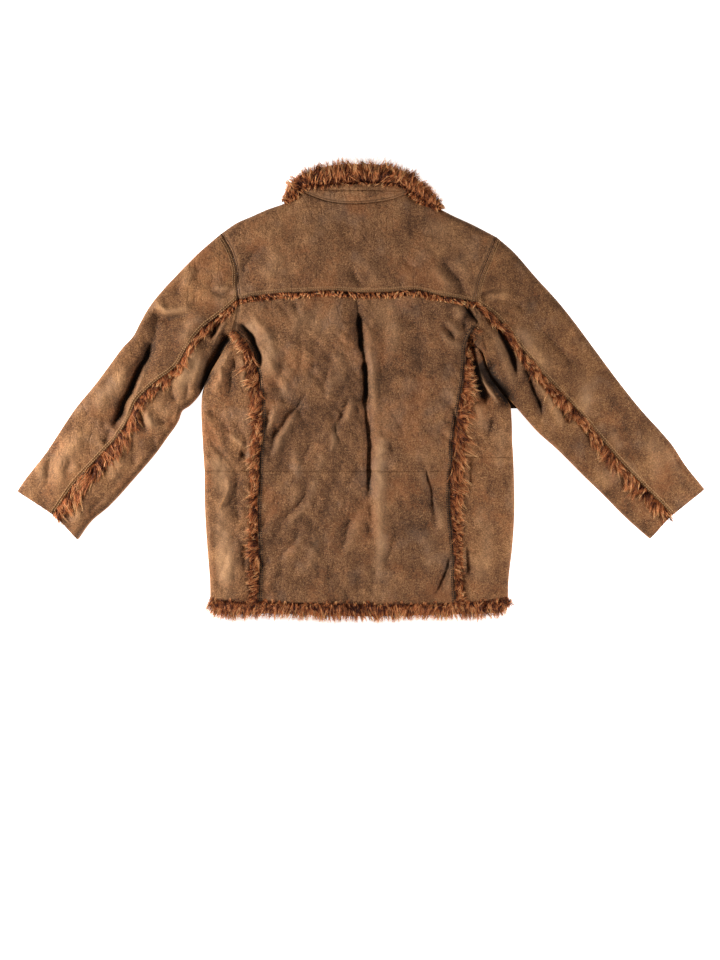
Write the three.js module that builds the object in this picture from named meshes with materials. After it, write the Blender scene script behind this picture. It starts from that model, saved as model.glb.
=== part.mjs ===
// A sheepskin coat laid out on its front, back up, sleeves spread.
// It is cut from hide with the wool left on. The wool is the inside of the coat, and it
// shows as fur along the seams, the hem and the collar. Millimetres, +Z up, the collar
// towards +Y, the origin on the floor below the middle of the coat.
import * as THREE from "three";

// Driving sizes.
const wall = 12; // hide with its wool pressed flat under the coat's own weight
const seamGap = 0.3; // between two pieces that are sewn together
const restHeight = 26; // top of the coat where the back lies on the front
const foldInset = 13; // how far a folded edge takes to turn over, seen from above
const furRise = 7; // fur in a seam above the hide beside it
const furPeak = 34; // top of the collar's fur
const hemFurEdge = 15; // top of the back hem's fur at its tips
const collarFurEdge = 7; // top of the collar's fur at its tips
const tuftDepth = 6; // how far the locks along a free edge stand out
const bottomLayer = wall; // top of the layer that lies on the floor
const topLayer = bottomLayer + seamGap; // underside of the layer above it

const leather = new THREE.MeshStandardMaterial({ color: 0x85603f, roughness: 0.75, metalness: 0 });
const fur = new THREE.MeshStandardMaterial({ color: 0x8a4f2b, roughness: 0.9, metalness: 0 });

// The back, cut by level lines. Each row is one section across the body, from the hem up
// to the armpits: the folded edge at each side, the fur in each long seam, the seam itself.
const bodySections = [
  { y: -406, edgeLeft: -289, furLeft: -213, seamLeft: -199, seamRight: 186, furRight: 199, edgeRight: 284 },
  { y: -362, edgeLeft: -290, furLeft: -215, seamLeft: -197, seamRight: 183, furRight: 199, edgeRight: 285 },
  { y: -299, edgeLeft: -295, furLeft: -217, seamLeft: -197, seamRight: 181, furRight: 198, edgeRight: 292 },
  { y: -235, edgeLeft: -299, furLeft: -216, seamLeft: -200, seamRight: 175, furRight: 200, edgeRight: 296 },
  { y: -191, edgeLeft: -300, furLeft: -214, seamLeft: -198, seamRight: 174, furRight: 204, edgeRight: 296 },
  { y: -155, edgeLeft: -300, furLeft: -213, seamLeft: -197, seamRight: 176, furRight: 206, edgeRight: 295 },
  { y: -128, edgeLeft: -302, furLeft: -213, seamLeft: -196, seamRight: 179, furRight: 208, edgeRight: 294 },
  { y: -95, edgeLeft: -304, furLeft: -212, seamLeft: -193, seamRight: 180, furRight: 209, edgeRight: 292 },
  { y: -57, edgeLeft: -306, furLeft: -212, seamLeft: -191, seamRight: 186, furRight: 212, edgeRight: 291 },
  { y: -26, edgeLeft: -306, furLeft: -216, seamLeft: -192, seamRight: 192, furRight: 216, edgeRight: 287 },
  { y: 1, edgeLeft: -303, furLeft: -218, seamLeft: -195, seamRight: 197, furRight: 220, edgeRight: 268 },
  { y: 32, edgeLeft: -290, furLeft: -223, seamLeft: -199, seamRight: 201, furRight: 222, edgeRight: 248 },
  { y: 59, edgeLeft: -274, furLeft: -227, seamLeft: -205, seamRight: 203, furRight: 221, edgeRight: 238 },
  { y: 82, edgeLeft: -261, furLeft: -231, seamLeft: -213, seamRight: 204, furRight: 222, edgeRight: 231 },
  { y: 101, edgeLeft: -249, furLeft: -244, seamLeft: -229, seamRight: 210, furRight: 228, edgeRight: 232 },
];
const hemLevel = bodySections[0].y;
const waistLevel = -155; // the seam across the back and the left side
const waistLevelRight = -128; // the same seam on the right side sits higher
const armpitLevelRight = 82; // where the right side piece ends

// Seams and edges seen from above, as the points they run through.
const outlines = {
  hem: [[-289, -402], [-251, -406], [-199, -407], [-116, -408], [-20, -410], [76, -411], [185, -407],
    [249, -405], [284, -401]],
  hemTips: [[-292, -418], [-279, -434], [-231, -438], [-174, -436], [-78, -440], [-1, -442], [76, -440],
    [191, -438], [268, -433], [288, -418]],
  yokeSeam: [[-234, 174], [-199, 181], [-162, 185], [-116, 187], [-59, 190], [-1, 187], [57, 188],
    [103, 191], [141, 183], [180, 176], [221, 168]],
  shoulderLeft: [[-268, 302], [-239, 322], [-210, 335], [-178, 349], [-147, 360], [-130, 370], [-112, 381]],
  neck: [[-112, 381], [-91, 372], [-68, 364], [-39, 359], [-3, 358], [37, 362], [64, 367], [89, 377]],
  shoulderRight: [[89, 377], [112, 365], [135, 356], [155, 348], [181, 335], [214, 320], [245, 304],
    [262, 295]],
  collarFold: [[-112, 385], [-68, 384], [-20, 383], [24, 383], [57, 382], [89, 381]],
  collarTurn: [[-112, 389], [-68, 393], [-20, 395], [24, 396], [64, 394], [89, 386]],
  collarTips: [[-149, 364], [-147, 380], [-131, 409], [-101, 427], [-60, 440], [-20, 443], [24, 443],
    [53, 438], [80, 430], [104, 419], [119, 404], [136, 385], [150, 368], [158, 351]],
};
const armholes = {
  left: { upper: [[-234, 174], [-237, 204], [-238, 235], [-249, 270], [-268, 302]], seamTip: [[-243, 114], [-238, 143]],
    furTip: [-246, 112] },
  right: { upper: [[221, 168], [223, 189], [229, 214], [245, 254], [262, 295]], seamTip: [[224, 124], [227, 145]],
    furTip: [232, 119] },
};
// Each sleeve, from the armhole to the cuff: its outer fold, the seam down its back, the
// lower side of the fur in that seam, and its inner fold.
const sleeves = {
  left: {
    outer: [[-268, 302], [-310, 266], [-333, 243], [-377, 197], [-407, 160], [-425, 128], [-437, 105],
      [-458, 82], [-475, 59], [-510, 12], [-548, -34], [-579, -80], [-610, -126], [-646, -172], [-660, -193]],
    seam: [[-234, 174], [-262, 149], [-301, 118], [-331, 80], [-352, 45], [-392, 14], [-427, -20],
      [-441, -51], [-463, -87], [-502, -131], [-547, -180], [-588, -239]],
    fur: [[-238, 161], [-258, 137], [-293, 105], [-322, 72], [-345, 32], [-381, 1], [-412, -30],
      [-427, -64], [-444, -107], [-485, -156], [-529, -204], [-575, -251]],
    inner: [[-252, 107], [-264, 84], [-277, 59], [-294, 32], [-305, 5], [-312, -10], [-329, -30],
      [-342, -39], [-350, -59], [-372, -91], [-396, -124], [-432, -166], [-483, -222], [-517, -251],
      [-543, -287]],
  },
  right: {
    outer: [[262, 295], [295, 266], [335, 220], [377, 174], [414, 128], [448, 82], [500, 12], [537, -34],
      [598, -103], [629, -149], [661, -189]],
    seam: [[221, 168], [260, 139], [287, 107], [308, 78], [331, 51], [350, 28], [395, -19], [421, -47],
      [444, -76], [473, -110], [505, -147], [540, -183], [579, -222], [596, -241]],
    fur: [[229, 154], [262, 116], [289, 80], [314, 43], [339, 12], [368, -24], [406, -57], [439, -97],
      [468, -135], [494, -162], [529, -197], [558, -226], [583, -254]],
    inner: [[237, 109], [234, 84], [240, 57], [251, 32], [269, 7], [288, -12], [296, -23], [310, -45],
      [341, -80], [381, -116], [431, -166], [462, -196], [512, -246], [556, -285]],
  },
};

// The largest folds. Each runs from, by way of and to three points; spread is the half
// width and lift the height of the ridge, or the depth of a trough where it is negative.
const folds = [
  // the pleat down the middle of the back
  { from: [-13, 228], via: [-9, 212], to: [-1, 186], spread: 10, lift: -5 },
  { from: [-11, 172], via: [1, 39], to: [7, -57], spread: 9, lift: -8 },
  { from: [7, -57], via: [14, -143], to: [11, -220], spread: 10, lift: -7 },
  { from: [7, 155], via: [16, 39], to: [22, -76], spread: 14, lift: 7 },
  { from: [22, -76], via: [32, -172], to: [34, -325], spread: 17, lift: 4.5 },
  { from: [-24, 135], via: [-25, 59], to: [-20, -57], spread: 20, lift: 3 },
  // the left half of the back
  { from: [-218, 132], via: [-197, 87], to: [-185, 11], spread: 9, lift: -8 },
  { from: [-189, 126], via: [-155, 78], to: [-145, -9], spread: 20, lift: 6 },
  { from: [-82, 36], via: [-135, -28], to: [-174, -137], spread: 12, lift: -7 },
  { from: [-49, 20], via: [-107, -66], to: [-151, -153], spread: 17, lift: 6 },
  { from: [-30, -18], via: [-49, -95], to: [-59, -153], spread: 14, lift: -3 },
  { from: [-87, -143], via: [-105, -203], to: [-158, -264], spread: 11, lift: -4 },
  { from: [-62, -172], via: [-107, -233], to: [-145, -287], spread: 13, lift: 4 },
  { from: [-49, -210], via: [-110, -264], to: [-162, -341], spread: 12, lift: -4 },
  { from: [-16, -239], via: [-43, -306], to: [-78, -398], spread: 13, lift: -3.5 },
  // the right half of the back and the yoke
  { from: [170, 247], via: [181, 216], to: [195, 181], spread: 10, lift: -6 },
  { from: [133, 135], via: [168, 97], to: [181, 20], spread: 18, lift: 6 },
  { from: [197, 158], via: [203, 107], to: [204, 39], spread: 8, lift: -7 },
  { from: [110, -110], via: [128, -162], to: [145, -245], spread: 10, lift: -6 },
  { from: [133, -114], via: [153, -181], to: [166, -249], spread: 13, lift: 4 },
  { from: [176, -310], via: [164, -348], to: [145, -395], spread: 10, lift: -5 },
  // the side pieces
  { from: [-231, -57], via: [-229, -172], to: [-231, -287], spread: 12, lift: -4 },
  { from: [-295, -37], via: [-281, -99], to: [-247, -137], spread: 11, lift: -5 },
  { from: [-266, -18], via: [-266, -76], to: [-258, -124], spread: 14, lift: 4 },
  { from: [226, 36], via: [229, -9], to: [245, -66], spread: 11, lift: -6 },
  { from: [241, -18], via: [256, -76], to: [260, -133], spread: 14, lift: 4 },
  // the left sleeve
  { from: [-385, 132], via: [-420, 59], to: [-466, -80], spread: 12, lift: -9 },
  { from: [-423, 107], via: [-458, 30], to: [-500, -66], spread: 20, lift: 6 },
  { from: [-362, 107], via: [-389, 49], to: [-431, -14], spread: 15, lift: 5 },
  { from: [-239, 189], via: [-277, 185], to: [-327, 151], spread: 10, lift: -5 },
  { from: [-400, 158], via: [-366, 143], to: [-316, 162], spread: 12, lift: 5 },
  { from: [-473, -87], via: [-489, -68], to: [-506, -80], spread: 13, lift: -5 },
  { from: [-596, -130], via: [-612, -172], to: [-608, -220], spread: 13, lift: -4 },
  { from: [-251, 151], via: [-277, 116], to: [-299, 87], spread: 8, lift: -5 },
  { from: [-266, 107], via: [-293, 68], to: [-335, 1], spread: 18, lift: 5 },
  { from: [-354, -3], via: [-385, -22], to: [-404, -57], spread: 11, lift: -5 },
  { from: [-350, -41], via: [-385, -72], to: [-423, -95], spread: 9, lift: -4 },
  // the right sleeve
  { from: [226, 180], via: [252, 195], to: [287, 197], spread: 8, lift: -5 },
  { from: [308, 189], via: [335, 126], to: [383, 78], spread: 13, lift: -6 },
  { from: [375, 87], via: [418, 36], to: [452, -18], spread: 13, lift: -5 },
  { from: [277, 174], via: [325, 107], to: [393, 36], spread: 18, lift: 5 },
  { from: [256, 126], via: [287, 68], to: [306, 11], spread: 10, lift: -7 },
  { from: [245, 87], via: [277, 49], to: [306, -3], spread: 11, lift: 4 },
  { from: [322, 36], via: [341, -9], to: [352, -53], spread: 11, lift: -5 },
  { from: [565, -95], via: [598, -137], to: [621, -176], spread: 13, lift: -4 },
  { from: [441, -9], via: [460, -41], to: [471, -76], spread: 16, lift: 3 },
];
const lowestTop = 19;
const highestTop = 42;

// How far along a fold each level of the cloth rises: nothing at its ends, all of it between.
const foldEnds = (along) =>
  THREE.MathUtils.smoothstep(along, 0, 0.3) * (1 - THREE.MathUtils.smoothstep(along, 0.7, 1));

// The lift that one fold gives the point x, y: nearest place on its two straight stretches.
function foldLift(fold, x, y) {
  let nearest = Infinity;
  let along = 0;
  const stretches = [[fold.from, fold.via], [fold.via, fold.to]];
  stretches.forEach(([[ax, ay], [bx, by]], index) => {
    const dx = bx - ax;
    const dy = by - ay;
    const share = THREE.MathUtils.clamp(((x - ax) * dx + (y - ay) * dy) / (dx * dx + dy * dy), 0, 1);
    const distance = Math.hypot(x - ax - share * dx, y - ay - share * dy);
    if (distance < nearest) {
      nearest = distance;
      along = (index + share) / stretches.length;
    }
  });
  return fold.lift * foldEnds(along) * Math.exp(-((nearest / fold.spread) ** 2));
}

// The height of the coat's upper face above the floor, over any point of its plan.
function topOf(x, y) {
  const sway = Math.sin(x / 71 + 0.6) * Math.cos(y / 83 - 0.4) + Math.sin(x / 37 + y / 53);
  const height = folds.reduce((sum, fold) => sum + foldLift(fold, x, y), restHeight + 0.8 * sway);
  return THREE.MathUtils.clamp(height, lowestTop, highestTop);
}

const point = (x, y, z = 0) => new THREE.Vector3(x, y, z);
const curveThrough = (points) =>
  new THREE.CatmullRomCurve3(points.map(([x, y]) => point(x, y)), false, "centripetal");
const curves = Object.fromEntries(Object.entries(outlines).map(([name, points]) => [name, curveThrough(points)]));
// The share of a curve's length at which it crosses the middle of the coat.
function middleOf(curve) {
  let low = 0;
  let high = 1;
  for (let halving = 0; halving < 40; halving += 1) {
    const share = (low + high) / 2;
    if (curve.getPointAt(share).x < 0) low = share;
    else high = share;
  }
  return low;
}
const steps = (count) => Array.from({ length: count + 1 }, (_, index) => index / count);
const along = (curve, shares) => shares.map((share) => curve.getPointAt(share));
const straight = (a, b, shares) => shares.map((share) => a.clone().lerp(b, share));

// A piece's plan as a grid of points, filled in between its four sides. The sides first
// and last run across the piece, the sides left and right run along it.
function fill(first, last, left, right, shares) {
  const rows = left.length - 1;
  const acrossShares = shares ?? steps(first.length - 1);
  return left.map((leftPoint, row) => {
    const t = row / rows;
    return acrossShares.map((q, column) => {
      const ruled = leftPoint.clone().lerp(right[row], q);
      const firstBulge = first[column].clone().sub(first[0].clone().lerp(first.at(-1), q));
      const lastBulge = last[column].clone().sub(last[0].clone().lerp(last.at(-1), q));
      return ruled.addScaledVector(firstBulge, 1 - t).addScaledVector(lastBulge, t);
    });
  });
}

// Draws a plan's outer rows and columns in by half a seam gap, so that neighbours don't touch.
function trim(grid, sides = { left: true, right: true, first: true, last: true }) {
  const pull = seamGap * 0.7;
  const towards = (from, to) => from.addScaledVector(to.clone().sub(from).normalize(), pull);
  if (sides.first) grid[0].forEach((p, column) => towards(p, grid[1][column]));
  if (sides.last) grid.at(-1).forEach((p, column) => towards(p, grid.at(-2)[column]));
  if (sides.left) grid.forEach((row) => towards(row[0], row[1]));
  if (sides.right) grid.forEach((row) => towards(row.at(-1), row.at(-2)));
  return grid;
}

// A closed solid between two grids of points that have the same rows and columns.
function solidBetween(outer, inner) {
  const rows = outer.length;
  const columns = outer[0].length;
  const positions = [...outer.flat(), ...inner.flat()].flatMap((p) => [p.x, p.y, p.z]);
  const outerAt = (row, column) => row * columns + column;
  const innerAt = (row, column) => rows * columns + row * columns + column;
  const triangles = [];
  const quad = (a, b, c, d) => triangles.push(a, b, c, a, c, d);
  for (let row = 0; row < rows - 1; row += 1) {
    for (let column = 0; column < columns - 1; column += 1) {
      quad(outerAt(row, column), outerAt(row, column + 1), outerAt(row + 1, column + 1), outerAt(row + 1, column));
      quad(innerAt(row, column), innerAt(row + 1, column), innerAt(row + 1, column + 1), innerAt(row, column + 1));
    }
  }
  for (let column = 0; column < columns - 1; column += 1) {
    quad(outerAt(0, column), innerAt(0, column), innerAt(0, column + 1), outerAt(0, column + 1));
    const last = rows - 1;
    quad(outerAt(last, column + 1), innerAt(last, column + 1), innerAt(last, column), outerAt(last, column));
  }
  for (let row = 0; row < rows - 1; row += 1) {
    quad(outerAt(row + 1, 0), innerAt(row + 1, 0), innerAt(row, 0), outerAt(row, 0));
    const last = columns - 1;
    quad(outerAt(row, last), innerAt(row, last), innerAt(row + 1, last), outerAt(row + 1, last));
  }
  const geometry = new THREE.BufferGeometry();
  geometry.setAttribute("position", new THREE.Float32BufferAttribute(positions, 3));
  geometry.setIndex(volumeOf(positions, triangles) < 0 ? turned(triangles) : triangles);
  geometry.computeVertexNormals();
  return geometry;
}

const turned = (triangles) => triangles.map((_, index) => triangles[index - (index % 3) + (2 - (index % 3))]);

// Six times the signed volume; it is negative where the faces point inwards.
function volumeOf(positions, triangles) {
  const corner = (index) => new THREE.Vector3().fromArray(positions, 3 * index);
  let sum = 0;
  for (let index = 0; index < triangles.length; index += 3) {
    const [a, b, c] = triangles.slice(index, index + 3).map(corner);
    sum += a.dot(b.cross(c));
  }
  return sum;
}

const coat = new THREE.Group();
coat.name = "sheepskin_coat";
function addPiece(name, geometry, material) {
  const mesh = new THREE.Mesh(geometry, material);
  mesh.name = name;
  coat.add(mesh);
}

const raised = (grid, height) => grid.map((row, r) => row.map((p, c) => point(p.x, p.y, height(p, r, c))));
const undersideOf = (p) => Math.max(topLayer, topOf(p.x, p.y) - wall);

// A piece of the upper layer: its outside follows the folds, and its inside lies on the
// layer below or lifts off it under a ridge.
function addUpperPiece(name, grid, material = leather, outerHeight = (p) => topOf(p.x, p.y)) {
  addPiece(name, solidBetween(raised(grid, outerHeight), raised(grid, undersideOf)), material);
}

// A piece that goes round a folded edge: along the top to the edge, over it, and back
// along the floor to its second seam, whose points are given.
const turnSteps = 5;
const returnSteps = 2;
function addFoldedPiece(name, grid, edge, secondSeam) {
  const outer = [];
  const inner = [];
  grid.forEach((row, index) => {
    const turnStart = row.at(-1);
    const out = edge[index].clone().sub(turnStart);
    const top = topOf(turnStart.x, turnStart.y);
    const innerTop = Math.max(topLayer, top - wall);
    const innerTurn = out.clone().multiplyScalar(0.08);
    const topOuter = row.map((p) => point(p.x, p.y, topOf(p.x, p.y)));
    const topInner = row.map((p) => point(p.x, p.y, undersideOf(p)));
    const turnOuter = [];
    const turnInner = [];
    for (let step = 1; step < turnSteps; step += 1) {
      const angle = Math.PI * (0.5 - step / turnSteps);
      const reach = Math.cos(angle);
      const rise = 0.5 + 0.5 * Math.sin(angle);
      const around = (start, way, low, high) =>
        start.clone().addScaledVector(way, reach).setZ(THREE.MathUtils.lerp(low, high, rise));
      turnOuter.push(around(turnStart, out, 0, top));
      turnInner.push(around(turnStart, innerTurn, bottomLayer, innerTop));
    }
    const floorPlan = straight(turnStart, secondSeam[index], steps(returnSteps));
    outer.push([...topOuter, ...turnOuter, ...floorPlan.map((p) => point(p.x, p.y, 0))]);
    inner.push([...topInner, ...turnInner, ...floorPlan.map((p) => point(p.x, p.y, bottomLayer))]);
  });
  addPiece(name, solidBetween(outer, inner), leather);
}

// The rows of a body piece between two levels, with one more row half way between sections.
const sectionsBetween = (low, high) => bodySections.filter(({ y }) => y >= low && y <= high);
const halved = (points) =>
  points.flatMap((p, index) => (index ? [points[index - 1].clone().lerp(p, 0.5), p] : [p]));
const hemPoint = (x) => along(curves.hem, [(x + 289) / 573])[0].y - hemLevel;
function sideLine(column, low, high) {
  return sectionsBetween(low, high).map((section) => {
    const x = section[column];
    return point(x, section.y === hemLevel ? hemLevel + hemPoint(x) : section.y);
  });
}

// Columns across the back, closer together where the pleat runs.
const shoulderLeftShares = [0, 0.17, 0.34, 0.51, 0.68, 0.85, 1];
const neckShares = [0, 0.147, 0.279, 0.397, 0.489, 0.537, 0.584, 0.632, 0.679, 0.726, 0.805, 0.903, 1];
const shoulderRightShares = [0, 0.14, 0.29, 0.45, 0.6, 0.75, 0.88, 1];
const yokeTop = [
  ...along(curves.shoulderLeft, shoulderLeftShares),
  ...along(curves.neck, neckShares).slice(1),
  ...along(curves.shoulderRight, shoulderRightShares).slice(1),
];
const backShares = yokeTop.map((p) => (p.x - yokeTop[0].x) / (yokeTop.at(-1).x - yokeTop[0].x));
const yokeBottom = along(curves.yokeSeam, backShares);

// The yoke, with its shoulder edges rounded down to the shoulder seam.
const armholeStops = [0, 0.15, 0.3, 0.45, 0.6, 0.75, 0.9];
const roundingStops = [0.955, 0.99, 1];
const armholeCurves = { left: curveThrough(armholes.left.upper), right: curveThrough(armholes.right.upper) };
const yokeRows = [...armholeStops, ...roundingStops];
const neckColumns = [shoulderLeftShares.length - 1, shoulderLeftShares.length + neckShares.length - 2];
const shoulderShare = (column) => (column <= neckColumns[0] - 1 || column >= neckColumns[1] + 1 ? 1 : 0.1);
function yokeGrid() {
  const left = along(armholeCurves.left, yokeRows);
  const right = along(armholeCurves.right, yokeRows);
  return left.map((leftPoint, row) => {
    const t = yokeRows[row];
    return backShares.map((q, column) => {
      const ruled = leftPoint.clone().lerp(right[row], q);
      const bottomBulge = yokeBottom[column].clone().sub(yokeBottom[0].clone().lerp(yokeBottom.at(-1), q));
      const topBulge = yokeTop[column].clone().sub(yokeTop[0].clone().lerp(yokeTop.at(-1), q));
      return ruled.addScaledVector(bottomBulge, 1 - t).addScaledVector(topBulge, t);
    });
  });
}
const roundStart = armholeStops.at(-1);
const roundingOf = (row) => Math.max(0, (yokeRows[row] - roundStart) / (1 - roundStart));
function yokeHeight(p, row, column) {
  const down = 1 - Math.sqrt(1 - roundingOf(row) ** 2);
  return THREE.MathUtils.lerp(topOf(p.x, p.y), topLayer + 0.7, down * shoulderShare(column));
}
const yoke = trim(yokeGrid());
const yokeUnderside = (p, row, column) => Math.min(undersideOf(p), yokeHeight(p, row, column) - 0.7);
addPiece("back_yoke", solidBetween(raised(yoke, yokeHeight), raised(yoke, yokeUnderside)), leather);

// The fur in the yoke seam, and the upper back below it.
const yokeFurDepth = 10;
const belowYoke = yokeBottom.map((p) => point(p.x, p.y - yokeFurDepth));
const yokeFurMiddle = yokeBottom.map((p) => point(p.x, p.y - yokeFurDepth / 2));
const lockHeights = [1.5, -0.5, 0.8, -1.2, 0.4];
const furHeight = (p, row, across) =>
  topOf(p.x, p.y) + furRise * Math.sin(Math.PI * (0.18 + 0.64 * across)) + lockHeights[row % lockHeights.length];
addUpperPiece("fur_yoke_seam", trim([yokeBottom, yokeFurMiddle, belowYoke].map((row) => row.map((p) => p.clone()))),
  fur, (p, row, column) => furHeight(p, column, row / 2));

const seamTips = {
  left: armholes.left.seamTip.map(([x, y]) => point(x, y)),
  right: armholes.right.seamTip.map(([x, y]) => point(x, y)),
};
const topSection = bodySections.at(-1).y;
const waistLeft = sideLine("seamLeft", waistLevel, waistLevel)[0];
const waistRight = sideLine("seamRight", waistLevel, waistLevel)[0];
const waistLine = straight(waistLeft, waistRight, backShares);
const upperLeft = [...sideLine("seamLeft", waistLevel, topSection), ...seamTips.left, belowYoke[0]];
const upperRight = [...sideLine("seamRight", waistLevel, topSection), ...seamTips.right, belowYoke.at(-1)];
addUpperPiece("back_upper", trim(fill(waistLine, belowYoke, upperLeft, upperRight, backShares)));

const hemLine = straight(sideLine("seamLeft", hemLevel, hemLevel)[0], sideLine("seamRight", hemLevel, hemLevel)[0],
  backShares).map((p) => point(p.x, hemLevel + hemPoint(p.x)));
const lowerLeft = halved(sideLine("seamLeft", hemLevel, waistLevel));
const lowerRight = halved(sideLine("seamRight", hemLevel, waistLevel));
addUpperPiece("back_lower", trim(fill(hemLine, waistLine, lowerLeft, lowerRight, backShares)));

// Each side piece goes round the coat's side and back to a seam below the one on top.
const sideShares = [0, 0.25, 0.5, 0.75, 1];
function addSidePiece(name, side, low, high) {
  const seamSide = halved(sideLine("fur" + side, low, high));
  const edge = halved(sideLine("edge" + side, low, high));
  const secondSeam = halved(sideLine("seam" + side, low, high));
  const grid = seamSide.map((p, row) => {
    const width = p.distanceTo(edge[row]);
    const turnShare = 1 - Math.min(foldInset, 0.5 * width) / width;
    return sideShares.map((share) => p.clone().lerp(edge[row], share * turnShare));
  });
  const rim = [grid, [edge], [secondSeam]];
  rim.forEach((rows) => rows.forEach((row) => row.forEach((p) => (p.z = 0))));
  trim(grid, { left: true, right: false, first: true, last: true });
  trimEnds(edge);
  trimEnds(secondSeam);
  secondSeam.forEach((p, row) => p.lerp(edge[row], (0.7 * seamGap) / p.distanceTo(edge[row])));
  addFoldedPiece(name, grid, edge, secondSeam);
}
function trimEnds(points) {
  const pull = seamGap * 0.7;
  const towards = (from, to) => from.addScaledVector(to.clone().sub(from).normalize(), pull);
  towards(points[0], points[1]);
  towards(points.at(-1), points.at(-2));
}
addSidePiece("side_left_upper", "Left", waistLevel, topSection);
addSidePiece("side_left_lower", "Left", hemLevel, waistLevel);
addSidePiece("side_right_upper", "Right", waistLevelRight, armpitLevelRight);
addSidePiece("side_right_lower", "Right", hemLevel, waistLevelRight);

// The fur in each side seam, from the hem to the armhole.
function addSideFur(name, side, tips, furTip) {
  const seam = [...halved(sideLine("seam" + side, hemLevel, topSection)), tips[0]];
  const outer = [...halved(sideLine("fur" + side, hemLevel, topSection)), point(...furTip)];
  const grid = seam.map((p, row) => straight(p, outer[row], [0, 0.35, 0.7, 1]));
  addUpperPiece(name, trim(grid), fur, (p, row, column) => furHeight(p, row, column / 3));
}
addSideFur("fur_side_left", "Left", seamTips.left, armholes.left.furTip);
addSideFur("fur_side_right", "Right", seamTips.right, armholes.right.furTip);

// The fronts lie on the floor, edge to edge, under the back.
const frontNeckSteps = steps(3);
function addFront(name, side, sideLineName, shoulderCurve, neckPart) {
  const rounding = roundingStops.length;
  const seam = [
    ...sideLine(sideLineName, hemLevel, topSection),
    ...seamTips[side],
    ...along(armholeCurves[side], yokeRows),
  ];
  const top = [...shoulderCurve, ...neckPart.slice(1)];
  const shares = top.map((p) => (p.x - top[0].x) / (top.at(-1).x - top[0].x));
  const centre = seam.map((p, row) => point(0, THREE.MathUtils.lerp(hemLevel + hemPoint(0), top.at(-1).y,
    (p.y - seam[0].y) / (seam.at(-1).y - seam[0].y))));
  centre.at(-1).y = top.at(-1).y;
  const bottom = straight(seam[0], point(0, hemLevel + hemPoint(0)), shares)
    .map((p) => point(p.x, hemLevel + hemPoint(p.x)));
  const grid = seam.map((p, row) => {
    const t = THREE.MathUtils.smoothstep(row, 0, seam.length - 1);
    const topShare = Math.max(0, (p.y - seamTips[side][0].y) / (seam.at(-1).y - seamTips[side][0].y));
    return shares.map((q, column) => {
      const ruled = p.clone().lerp(centre[row], q);
      const bottomBulge = bottom[column].clone().sub(bottom[0].clone().lerp(bottom.at(-1), q));
      const topBulge = top[column].clone().sub(top[0].clone().lerp(top.at(-1), q));
      return ruled.addScaledVector(bottomBulge, 1 - t).addScaledVector(topBulge, topShare);
    });
  });
  trim(grid);
  const neckFrom = shoulderCurve.length;
  const underside = (p, row, column) => {
    const share = roundingOf(row - (seam.length - yokeRows.length));
    return row < seam.length - rounding || column >= neckFrom ? 0 : (bottomLayer - 0.7) * (1 - Math.sqrt(1 - share ** 2));
  };
  addPiece(name, solidBetween(raised(grid, () => bottomLayer), raised(grid, underside)), leather);
}
const leftHalf = (curve) => along(curve, frontNeckSteps.map((share) => share * middleOf(curve)));
const rightHalf = (curve) => along(curve, frontNeckSteps.map((share) => 1 - share * (1 - middleOf(curve))));
addFront("front_left", "left", "seamLeft", along(curves.shoulderLeft, shoulderLeftShares), leftHalf(curves.neck));
addFront("front_right", "right", "seamRight", along(curves.shoulderRight, shoulderRightShares).reverse(),
  rightHalf(curves.neck));

// Each sleeve is an upper and an under piece. Each is folded over at its edge, and the
// two meet at the seam down the back of the arm and at one below it.
const sleeveStations = steps(18);
const upperShares = armholeStops.map((stop) => stop / armholeStops.at(-1));
const underShares = [0, 0.25, 0.5, 0.75, 1];
function addSleeve(side) {
  const { outer, seam, fur: furEdge, inner } = Object.fromEntries(
    Object.entries(sleeves[side]).map(([name, points]) => [name, along(curveThrough(points), sleeveStations)]));
  const armhole = armholeCurves[side];
  const turnShare = (from, to) => 1 - Math.min(foldInset, 0.4 * from.distanceTo(to)) / from.distanceTo(to);

  const upperGrid = seam.map((p, row) => {
    const toTurn = turnShare(p, outer[row]);
    return upperShares.map((share) => {
      const ruled = p.clone().lerp(outer[row], share * toTurn);
      const bulge = armhole.getPointAt(share * armholeStops.at(-1))
        .sub(armhole.getPointAt(0).lerp(armhole.getPointAt(1), share * armholeStops.at(-1)));
      return ruled.addScaledVector(bulge, Math.max(0, 1 - sleeveStations[row] * 6));
    });
  });
  trim(upperGrid, { left: true, right: false, first: true, last: false });
  const outerEdge = outer.map((p) => p.clone());
  outerEdge[0].lerp(outer[1], 0.4 / outer[0].distanceTo(outer[1]));
  const upperSecond = seam.map((p, row) => p.clone().lerp(outer[row], 0.25 / p.distanceTo(outer[row])));
  upperSecond[0].lerp(upperSecond[1], 0.3 / upperSecond[0].distanceTo(upperSecond[1]));
  addFoldedPiece(`sleeve_${side}_upper`, upperGrid, outerEdge, upperSecond);

  const underGrid = furEdge.map((p, row) => {
    const toTurn = turnShare(p, inner[row]);
    return underShares.map((share) => p.clone().lerp(inner[row], share * toTurn));
  });
  trim(underGrid, { left: true, right: false, first: false, last: false });
  const underSecond = seam.map((p, row) => p.clone().lerp(inner[row], 0.25 / p.distanceTo(inner[row])));
  underSecond[0].lerp(underSecond[1], 0.08);
  addFoldedPiece(`sleeve_${side}_under`, underGrid, inner, underSecond);

  const furGrid = seam.map((p, row) => straight(p, furEdge[row], [0, 0.35, 0.7, 1]));
  trim(furGrid);
  furGrid[0].forEach((p, column) => p.lerp(furGrid[1][column], 0.06));
  addUpperPiece(`fur_sleeve_${side}`, furGrid, fur, (p, row, column) => furHeight(p, row, column / 3));
}
addSleeve("left");
addSleeve("right");

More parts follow.
